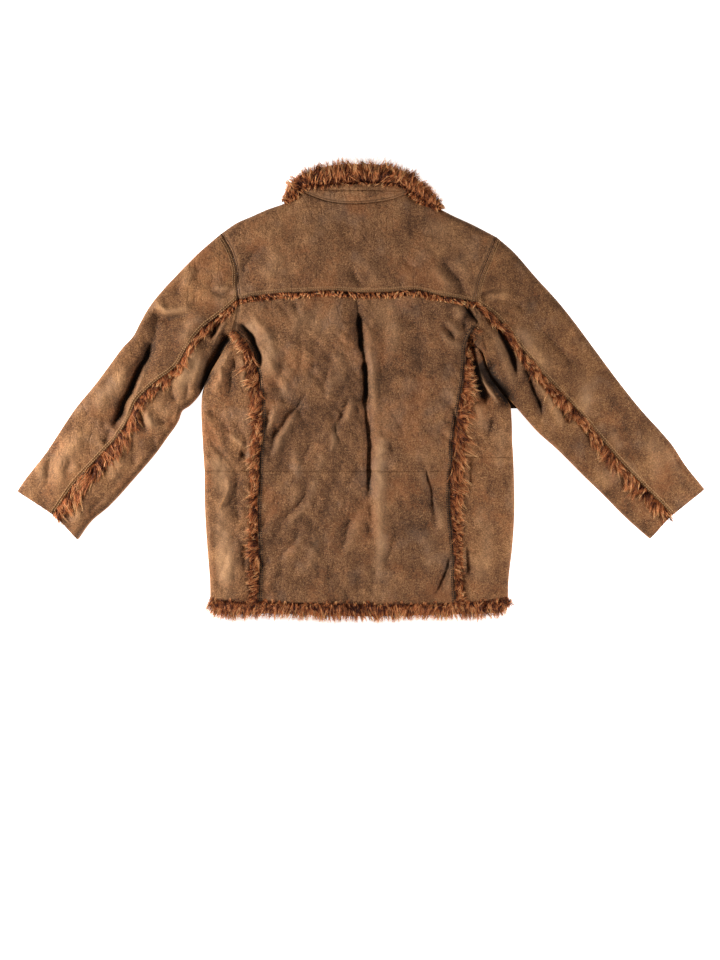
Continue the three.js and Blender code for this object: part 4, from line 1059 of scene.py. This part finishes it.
def sew(name, line, towards, material, thread=0.5):
    """Two rows of stitches beside a line, on the side that towards points to, as one mesh.

    thread is half of the thread's thickness."""
    rng = np.random.default_rng(len(name))
    run = length_of(line)
    share = np.arange(STITCH_PITCH, run - STITCH_PITCH, STITCH_PITCH) / run
    ahead = ahead_at(line, share)
    aside = np.column_stack([-ahead[:, 1], ahead[:, 0]])
    aside *= np.sign(aside @ np.array(towards, float))[:, None]
    rows = np.vstack([at(line, share) + aside * STITCH_ROW * row for row in (1, 2)])
    ahead, aside = np.vstack([ahead, ahead]), np.vstack([aside, aside])
    half = STITCH / 2 * rng.uniform(0.8, 1.1, (len(rows), 1))
    height = lie(*rows.T)[0] + 0.25
    corners = [(i, j, k) for i in (-1, 1) for j in (-1, 1) for k in (-1, 1)]
    points = np.stack([
        np.column_stack([rows + ahead * half * i + aside * thread * j, height + thread * k])
        for i, j, k in corners
    ], axis=1).reshape(-1, 3)
    sides = np.array([(0, 1, 3, 2), (4, 6, 7, 5), (0, 4, 5, 1), (2, 3, 7, 6), (0, 2, 6, 4), (1, 5, 7, 3)])
    faces = (np.arange(len(rows))[:, None, None] * len(corners) + sides).reshape(-1, 4)
    mesh = bpy.data.meshes.new(name)
    mesh.from_pydata((points * MM).tolist(), [], faces.tolist())
    add_piece(name, mesh, material)


sew("yoke_stitches", YOKE_SEAM, (0, 1), brown_thread)
for side, outward in (("left", -1), ("right", 1)):
    sew(f"{side}_armhole_stitches", ARMHOLES[side], (outward, 0), brown_thread)
    sew(f"{side}_sleeve_stitches", sleeve_lines[side]["seam"], (0.6 * outward, 1), pale_thread, thread=0.65)
    body_seam = section_line("seam_" + side, HEM_LEVEL, ARMPIT, LOWER_ARMHOLE[side][:1])
    sew(f"{side}_side_stitches", body_seam, (-outward, 0), dark_thread, thread=0.85)


# The fronts
# The two front pieces lie on the surface below the back, edge to edge. Their sides run to the seams under
# the ones on top, and at the shoulders they rise to meet the yoke.
FRONT_LEVEL, FRONT_RISE = 0.965, 0.035  # the shares of a front that lie on the floor and that rise from it
NECK_MIDDLE, NECK_HALF = -10, 100


def lay_front(side, shoulder, neck_half):
    """One front, as a plan between its side line and the coat's middle."""
    body_side = section_line("seam_" + side, HEM_LEVEL, ARMPIT, LOWER_ARMHOLE[side])
    side_line = by_share(smooth_line(np.vstack([body_side, ARMHOLES[side][::8]])[::6]))
    top = by_share(np.vstack([shoulder, neck_half]))
    middle_height = top(np.ones(1))[0, 1] - hem_at(0)

    def hem_line(u):
        x = side_line(0 * u)[:, 0] * (1 - u)
        return np.column_stack([x, hem_at(x)])

    def middle(v):
        return np.column_stack([0 * v, hem_at(0) + middle_height * v])

    plan = fill(hem_line, top, side_line, middle)

    def place(u, v):
        x, y = plan(u, v).T
        rise = np.clip((v - FRONT_LEVEL) / FRONT_RISE, 0, 1)
        on_shoulder = smooth_step((np.abs(x - NECK_MIDDLE) - NECK_HALF) / NECK_FADE)
        height = SHOULDER_SEAM * (1 - np.sqrt(1 - rise**2)) * on_shoulder
        # the rising edge at the shoulders is painted golden as a rim highlight
        return np.column_stack([x, y, height]), plain_look(u, edge=rise * on_shoulder)

    lay_sheet(f"{side}_front", (20, 54), place, hide_back, f"front_{side}", cut_size(plan), face_down=True)


neck_middle = int(np.argmin(np.abs(NECK[:, 0])))
lay_front("left", SHOULDERS["left"], NECK[:neck_middle + 1])
lay_front("right", SHOULDERS["right"][::-1], NECK[:neck_middle - 1:-1])


# The collar
# A stand sewn into the neck, and the edge of the turned part that shows above its fold. Below them lie the
# collar's two front ends.
COLLAR_FOLD = smooth_line([(-112, 385), (-68, 384), (-20, 383), (24, 383), (57, 382), (89, 381)])
COLLAR_TURN = smooth_line([(-112, 389), (-68, 393), (-20, 395), (24, 396), (64, 394), (89, 386)])
STAND_RISE = 3.0


def strip_plan(first, last):
    return lambda u, v: between(at(first, u), at(last, u), v)


def lay_collar(node, plan, rise, sewn, furred):
    def place(u, v):
        points, attributes = panel(plan, sewn, furred)(u, v)
        points[:, 2] += rise(v)
        return points, attributes
    lay_sheet(node + "_hide", (70, 8), place, hide_back, node, cut_size(plan))


lay_collar("collar_stand", strip_plan(NECK, COLLAR_FOLD), lambda v: STAND_RISE * v,
           {"first": 1.8}, {"last": 0.8})
lay_collar("collar_edge", strip_plan(COLLAR_FOLD, COLLAR_TURN), lambda v: STAND_RISE - 2 * v,
           {}, {"first": 1.4, "last": 1.0})


def lay_collar_front(side):
    turn_middle = int(np.argmin(np.abs(COLLAR_TURN[:, 0])))
    near = slice(0, neck_middle + 1) if side == "left" else slice(neck_middle, None)
    far = slice(0, turn_middle + 1) if side == "left" else slice(turn_middle, None)
    plan = strip_plan(NECK[near], COLLAR_TURN[far])

    def place(u, v):
        return np.column_stack([plan(u, v), np.zeros_like(u)]), plain_look(u)

    lay_sheet(f"collar_{side}_end", (24, 8), place, hide_back, f"collar_front_{side}", cut_size(plan),
              face_down=True)


for side in SIDES:
    lay_collar_front(side)


# The wool in the seams
# The seams are sewn with the wool turned out, so a strip of red-brown locks stands in each long one. A strip
# is a mat of underwool that lies between the two panels, with locks that lie over the panel below.
def make_wool(name, root, middle, tip, gloss):
    """Wool: dark at its roots and paler at its tips, partly its own colour and partly painted shade among the
    roots and painted highlight on the tips, with each lock a little different.
    """
    material, shade = new_material(name)
    tone, along = shade.attribute("tone"), shade.attribute("along")
    streak = shade.noise(3.0, 2.0, 0.6)
    value = along * 0.7 + (tone - 0.5) * 0.95 + (streak - 0.5) * 0.35
    stops = [(0.0, colour(*root)), (0.38, colour(*middle)), (0.95, colour(*tip))]
    base = shade.node("ValToRGB", {"stops": stops}, {"Fac": value.clamped()})
    finish_material(shade, base, 0.6 - tone * 0.1, streak, 0.0002, specular=gloss)
    return material


wool = make_wool("wool", (62, 24, 10), (206, 122, 70), (255, 204, 140), gloss=0.2)
# the underwool is painted darker than the locks, as the shade between them
underwool = make_wool("underwool", (50, 22, 11), (122, 66, 35), (160, 93, 54), gloss=0.05)

HAIRS, STRETCHES, CORNERS = 5, 3, 3  # hairs in a lock, and a hair's stretches and sides


def grow_locks(name, roots, ways, lengths, seed, gather=1.0, rise=5.0, droop=4.0, curl=5.0, sway=0.5,
               half_width=0.58):
    """Locks of wool as one mesh. Each lock is a few tapering hairs that draw together to its tip.

    roots are points, ways are directions seen from above, and all sizes are in millimetres. Locks that
    grow side by side lie and curl much alike."""
    rng = np.random.default_rng(seed)
    locks = len(roots)
    count = locks * HAIRS

    def each(values):
        return np.repeat(np.asarray(values, float), HAIRS, axis=0)

    t = np.linspace(0, 1, STRETCHES + 1)[None, :]
    x, y = np.asarray(roots)[:, :2].T
    turn = sway * (1.4 * rumple(x, y, 17, seed) + rng.normal(0, 0.3, locks))
    curve = curl * (1.3 * rumple(x, y, 23, seed + 1) + rng.normal(0, 0.45, locks))
    ahead, aside = np.cos(turn), np.sin(turn)
    way = each(np.column_stack([
        ways[:, 0] * ahead - ways[:, 1] * aside,
        ways[:, 0] * aside + ways[:, 1] * ahead,
    ]))
    side = np.column_stack([-way[:, 1], way[:, 0]])
    length = each(lengths)[:, None] * rng.uniform(0.6, 1.08, (count, 1))
    bend = each(curve)[:, None] + rng.normal(0, curl * 0.2, (count, 1))
    apart = rng.normal(0, gather, (count, 1)) * (1 - 0.75 * t)
    back = rng.normal(0, gather, (count, 1)) * (1 - t)
    sideways = apart + bend * (t**2 - 0.25 * t)
    forward = length * t + back
    start = each(roots)
    lift = each(rng.uniform(0.5, 1.4, locks))[:, None] * rng.uniform(0.7, 1.25, (count, 1))
    height = start[:, 2:] + rise * lift * np.sin(np.pi * np.minimum(t * 0.92 + 0.04, 1.0)) - droop * t**2
    centre = np.stack([
        start[:, :1] + way[:, :1] * forward + side[:, :1] * sideways,
        start[:, 1:2] + way[:, 1:] * forward + side[:, 1:] * sideways,
        np.maximum(height, half_width),
    ], axis=-1)
    radius = half_width * (1 - 0.9 * t**1.5) * rng.uniform(0.7, 1.3, (count, 1))
    corners = np.arange(CORNERS) * 2 * np.pi / CORNERS
    ring = np.zeros((count, STRETCHES + 1, CORNERS, 3))
    ring[..., :2] = side[:, None, None] * np.cos(corners)[:, None]
    ring[..., 2] = np.sin(corners)
    points = (centre[:, :, None, :] + ring * radius[:, :, None, None]).reshape(-1, 3)
    first = (np.arange(count) * CORNERS * (STRETCHES + 1))[:, None, None]
    level = (np.arange(STRETCHES) * CORNERS)[None, :, None]
    corner = first + level + np.arange(CORNERS)
    beside_it = first + level + (np.arange(CORNERS) + 1) % CORNERS
    walls = np.stack([corner, beside_it, beside_it + CORNERS, corner + CORNERS], axis=-1).reshape(-1, 4)
    heel, tip = first[:, 0] + [2, 1, 0], first[:, 0] + CORNERS * STRETCHES + [0, 1, 2]
    mesh = bpy.data.meshes.new(name)
    mesh.from_pydata((points * MM).tolist(), [], walls.tolist() + heel.tolist() + tip.tolist())
    tone = np.clip(each(rng.uniform(0.1, 0.9, locks))[:, None] + rng.normal(0, 0.12, (count, 1)), 0, 1)
    set_attributes(mesh, {
        "tone": np.repeat((tone + 0 * t).reshape(-1), CORNERS),
        "along": np.repeat((t + 0 * tone).reshape(-1), CORNERS),
    })
    mesh.polygons.foreach_set("use_smooth", [True] * len(mesh.polygons))
    add_piece(name, mesh, wool)


MAT = 3.0  # thickness of the underwool


def tufted(points, tuft):
    """A mat's points, with the attributes of its tufts."""
    return points, {"tone": 0.5 + 0.5 * tuft, "along": 0.3 + 0.3 * tuft}


def lay_mat(name, plan, grid, height, node):
    """The mat of underwool that the locks grow from. height gives its top from x, y, u and v."""
    def place(u, v):
        x, y = plan(u, v).T
        tuft = rumple(x, y, 4, 31)
        return tufted(np.column_stack([x, y, height(x, y, u, v) + 1.2 * tuft]), tuft)
    lay_sheet(name, grid, place, underwool, node, cut_size(plan), MAT)


def strip_fur(name, node, rests_on, seam, outer, locks, lengths, lean, seed, swells=(), tucked=0.0, **look):
    """A strip of wool between a seam and the panel below it. lean turns the locks towards the strip's end.

    swells are the place, reach and gain of its bushier and thinner stretches, and tucked is the share of the
    strip, from its start, that is pressed into the armpit."""
    rng = np.random.default_rng(seed)

    def plan(u, v):
        return between(at(seam, v), at(outer, v), 1.1 * u - 0.15)

    def height(x, y, u, v):
        return lie(x, y)[0] - 2.6 + 1.2 * u

    lay_mat(name + "_mat", plan, (6, round(length_of(seam) / 4)), height, node)
    place, root = rng.uniform(0.002, 0.998, locks), rng.uniform(-0.08, 0.6, locks)
    start = between(at(seam, place), at(outer, place), root)
    out = at(outer, place) - at(seam, place)
    width = np.hypot(*out.T)
    way = unit(unit(out) + ahead_at(seam, place) * lean)
    length = rng.uniform(*lengths, locks) * (0.6 + width / 28)
    for middle, spread, gain in swells:
        length *= 1 + gain * np.exp(-(((place - middle) / spread) ** 2))
    if tucked:
        length *= 0.3 + 0.7 * smooth_step(place / tucked) ** 2
    points = np.column_stack([start, lie(*start.T)[0] + 0.3])
    grow_locks(name + "_locks", points, way, length, seed=seed, **look)


strip_fur("yoke_fur", "fur_yoke_seam", ["back_upper"], YOKE_SEAM, below_yoke, 360, (5, 13), 0.2, 3,
          rise=3.0, droop=3.0)
FUR_TAIL = {"left": [(-246, 112)], "right": [(232, 119)]}
SWELLS = {"left": [(0.15, 0.1, 0.2)], "right": [(0.42, 0.14, 0.4), (0.85, 0.2, -0.4)]}
TUCKED = {"left": 0.0, "right": 0.3}
for side, seed in (("left", 5), ("right", 6)):
    seam_line = section_line("seam_" + side, HEM_LEVEL, ARMPIT, LOWER_ARMHOLE[side][:1])[::-1]
    fur_line = section_line("fur_" + side, HEM_LEVEL, ARMPIT, FUR_TAIL[side])[::-1]
    strip_fur(f"{side}_side_fur", f"fur_side_{side}", [f"side_{side}_upper", f"side_{side}_lower"],
              seam_line, fur_line, 600, (8, 21), 0.8, seed, swells=SWELLS[side], tucked=TUCKED[side],
              gather=2.2, curl=8.0, sway=0.85, half_width=0.42)
for side, seed in (("left", 7), ("right", 8)):
    strip_fur(f"{side}_sleeve_fur", f"fur_sleeve_{side}", [f"sleeve_{side}_under"],
              sleeve_lines[side]["seam"], sleeve_lines[side]["fur"], 540, (9, 21), 0.9, seed,
              swells=[(0.8, 0.2, 0.5)], gather=2.1, curl=6.0, sway=0.65, half_width=0.42)


# The collar's wool
# The turned collar's wool fans out past its leather edge, in long locks that lie towards the shoulders and
# the top of the picture. It lies on the surface and stands highest near the leather.
COLLAR_TIPS = smooth_line([(-149, 364), (-147, 380), (-131, 409), (-101, 427), (-60, 440), (-20, 443),
                           (24, 443), (53, 438), (80, 430), (104, 419), (119, 404), (136, 385), (150, 368),
                           (158, 351)])
COLLAR_SEAT = smooth_line([(-147, 362), (-130, 371), (-113, 386), (-68, 393), (-20, 396), (24, 397),
                           (64, 394), (90, 384), (112, 366), (135, 357), (155, 349)])
UNDER_COLLAR = 7.0  # how far the wool starts below the leather's edge
MAT_REACH = 0.86  # the share of the way to the tips that the underwool covers
OVER_LEATHER = 0.08  # the share of the locks that curl back over the leather


def fan_height(share):
    """The wool's height from its seat, at 0, to its free edge, at 1."""
    return np.interp(share, [0, 0.3, 0.65, 1], [27, 31, 22, 5])


def collar_wool(locks, seed):
    run = np.gradient(COLLAR_SEAT, axis=0)
    outward = np.column_stack([-run[:, 1], run[:, 0]]) / np.hypot(*run.T)[:, None]
    mat_start = COLLAR_SEAT - UNDER_COLLAR * outward

    def plan(u, v):
        return between(at(mat_start, v), at(COLLAR_TIPS, v), u * MAT_REACH)

    def height(x, y, u, v):
        return fan_height(u * MAT_REACH - 0.1) - 4

    lay_mat("collar_fur_mat", plan, (14, 90), height, "fur_collar")
    rng = np.random.default_rng(seed)
    place, root = rng.uniform(0, 1, locks), rng.uniform(-0.02, 0.72, locks)
    back = rng.uniform(0, 1, locks) < OVER_LEATHER
    root[back] = 0.0
    seat, tips = at(COLLAR_SEAT, place), at(COLLAR_TIPS, place)
    start = between(seat, tips, root)
    reach = np.hypot(*(tips - seat).T)
    way = (tips - seat) / reach[:, None]
    way[back] *= -1
    grown = reach * rng.uniform(0.4, 0.8, locks) + 6
    length = np.minimum(grown, reach * (1 - root) + rng.uniform(1, 15, locks))
    length[back] = rng.uniform(8, 17, back.sum())
    points = np.column_stack([start, fan_height(np.clip(root, 0, 1)) - 3 + 3 * back])
    grow_locks("collar_fur_locks", points, way, length, gather=1.9, rise=6.0, droop=11.0, curl=8.0,
               seed=seed + 1, sway=1.0, half_width=0.48)


collar_wool(locks=1200, seed=41)


# The hem's wool
# The wool comes out below the hem of the back and of the fronts as a fringe of locks. A few of the back's
# curl up over the leather's edge.
HEM_TIPS = smooth_line([(-292, -418), (-279, -434), (-231, -438), (-174, -436), (-78, -440), (-1, -442),
                        (76, -440), (191, -438), (268, -433), (288, -418)])


def hem_fur(name, node, part, locks, level, tip_level, seed, up_share=0.0):
    """A fringe along part of the hem. level is the wool's height at the hem and tip_level at its tips."""
    rng = np.random.default_rng(seed)
    low, high = part
    seat_line, tip_line = (at(line, np.linspace(low, high, 200)) for line in (HEM, HEM_TIPS))

    def plan(u, v):
        return between(at(seat_line, v), at(tip_line, v), u - 0.25)

    def height(x, y, u, v):
        return np.maximum(level + (tip_level - level) * u**2 - 4, MAT + 1.3)

    lay_mat(name + "_mat", plan, (6, round(150 * (high - low))), height, node)
    place, root = rng.uniform(0, 1, locks), rng.uniform(-0.05, 0.55, locks)
    upward = rng.uniform(0, 1, locks) < up_share
    seat, tips = at(seat_line, place), at(tip_line, place)
    start = between(seat, tips, root)
    reach = np.hypot(*(tips - seat).T)
    way = (tips - seat) / reach[:, None]
    way[upward] *= (1, -1)
    length_up = rng.uniform(7, 14, locks)
    length = np.where(upward, length_up, reach * (1 - root) * rng.uniform(0.85, 1.25, locks) + 6)
    points = np.column_stack([start, level - 2 + (tip_level - level) * np.clip(root, 0, 1) ** 2])
    points[upward, 2] += 3.0
    grow_locks(name + "_locks", points, way, length, gather=2.0, rise=3.0, droop=level - tip_level,
               curl=5.5, seed=seed, sway=0.5, half_width=0.46)


hem_middle = int(np.argmin(np.abs(HEM[:, 0]))) / (len(HEM) - 1)
hem_fur("back_hem_fur", "fur_hem_back", (0, 1), 1150, 27, 14, 51, up_share=0.22)
hem_fur("left_front_hem_fur", "fur_hem_front_left", (0, hem_middle), 150, 10, 5, 52)
hem_fur("right_front_hem_fur", "fur_hem_front_right", (hem_middle, 1), 150, 10, 5, 53)


# The cuffs' wool
# The sleeves' wool shows inside the open cuffs. A mat stands across each sleeve, a little way in, with short
# locks that point out of it.
CUFF_INSET, CUFF_LOW, CUFF_TOP, CUFF_LOCKS = 10.0, 4.0, 16.0, 80


def cuff_wool(side, seed):
    lines = sleeve_lines[side]
    outer, inner = lines["outer"][-1], lines["inner"][-1]
    across = (inner - outer) / np.hypot(*(inner - outer))
    out = np.array([across[1], -across[0]])
    out *= np.sign(out @ (lines["seam"][-1] - lines["seam"][-40]))
    first, last = outer + across * TURN - out * CUFF_INSET, inner - across * TURN - out * CUFF_INSET

    def place(u, v):
        x, y = between(first, last, v).T
        return tufted(np.column_stack([x, y, CUFF_LOW + (CUFF_TOP - CUFF_LOW) * u]), rumple(x, 12 * u, 4, 31))

    width, tall = float(np.hypot(*(last - first))) * MM, (CUFF_TOP - CUFF_LOW) * MM
    lay_sheet(f"{side}_cuff_mat", (4, 30), place, underwool, None, ((tall, width), tall * width),
              thickness=MAT)
    rng = np.random.default_rng(seed)
    spot = between(first, last, rng.uniform(0, 1, CUFF_LOCKS))
    roots = np.column_stack([spot, rng.uniform(CUFF_LOW, CUFF_TOP, CUFF_LOCKS)])
    grow_locks(f"{side}_cuff_locks", roots, np.tile(out, (CUFF_LOCKS, 1)), rng.uniform(6, 10, CUFF_LOCKS),
               rise=1.0, droop=2.0, curl=4.0, seed=seed)


cuff_wool("left", 61)
cuff_wool("right", 62)


# The room
# A plain white surface under two soft lights, one at each side, with a weak one above, and a camera straight
# over the coat, as far off as the picture's scale asks.
FLOOR_HALF, FLOOR_DROP = 6.0, 0.0006
floor_mesh = add_grid("floor", 1, 1, size=FLOOR_HALF)
floor = add_object("floor", floor_mesh)
for corner in floor_mesh.vertices:
    corner.co.z = -FLOOR_DROP
floor_material, shade = new_material("white_surface")
surface = shade.node("BsdfPrincipled", {}, {"Base Color": (0.9, 0.9, 0.9, 1), "Roughness": 0.9,
                                             "Emission Color": (1, 1, 1, 1), "Emission Strength": 1.0})
shade.node("OutputMaterial", {}, {"Surface": surface})
floor_mesh.materials.append(floor_material)

Light = namedtuple("Light", "name place size power")
LIGHTS = [
    Light("key_left", (-1.7, -0.05, 0.8), 0.5, 57),
    Light("fill_right", (1.4, -0.52, 0.68), 0.5, 21),
    Light("top", (-0.2, 0.9, 3.0), 2.0, 6),
]
for light in LIGHTS:
    data = bpy.data.lights.new(light.name, "AREA")
    data.shape, data.size, data.energy = "DISK", light.size, light.power
    lamp = add_object(light.name, data)
    lamp.location = light.place
    lamp.rotation_mode = "QUATERNION"
    lamp.rotation_quaternion = (-Vector(light.place)).to_track_quat("-Z", "Y")

world = bpy.data.worlds.new("room")
world.use_nodes = True
background = world.node_tree.nodes["Background"]
background.inputs["Color"].default_value = (1, 1, 1, 1)
background.inputs["Strength"].default_value = 0.12
bpy.context.scene.world = world
bpy.context.scene.view_settings.view_transform = "Standard"

MM_PER_PIXEL, PICTURE_HEIGHT = 1.92, 960
PICTURE_MIDDLE = (-0.96, -171.84)
LENS, SENSOR = 85.0, 36.0
CAMERA_HEIGHT = LENS / SENSOR * PICTURE_HEIGHT * MM_PER_PIXEL + 20  # the scale holds 20 mm over the floor
camera_data = bpy.data.cameras.new("camera")
camera_data.lens, camera_data.sensor_width = LENS, SENSOR
camera = add_object("camera", camera_data)
camera.location = (PICTURE_MIDDLE[0] * MM, PICTURE_MIDDLE[1] * MM, CAMERA_HEIGHT * MM)
bpy.context.scene.camera = camera
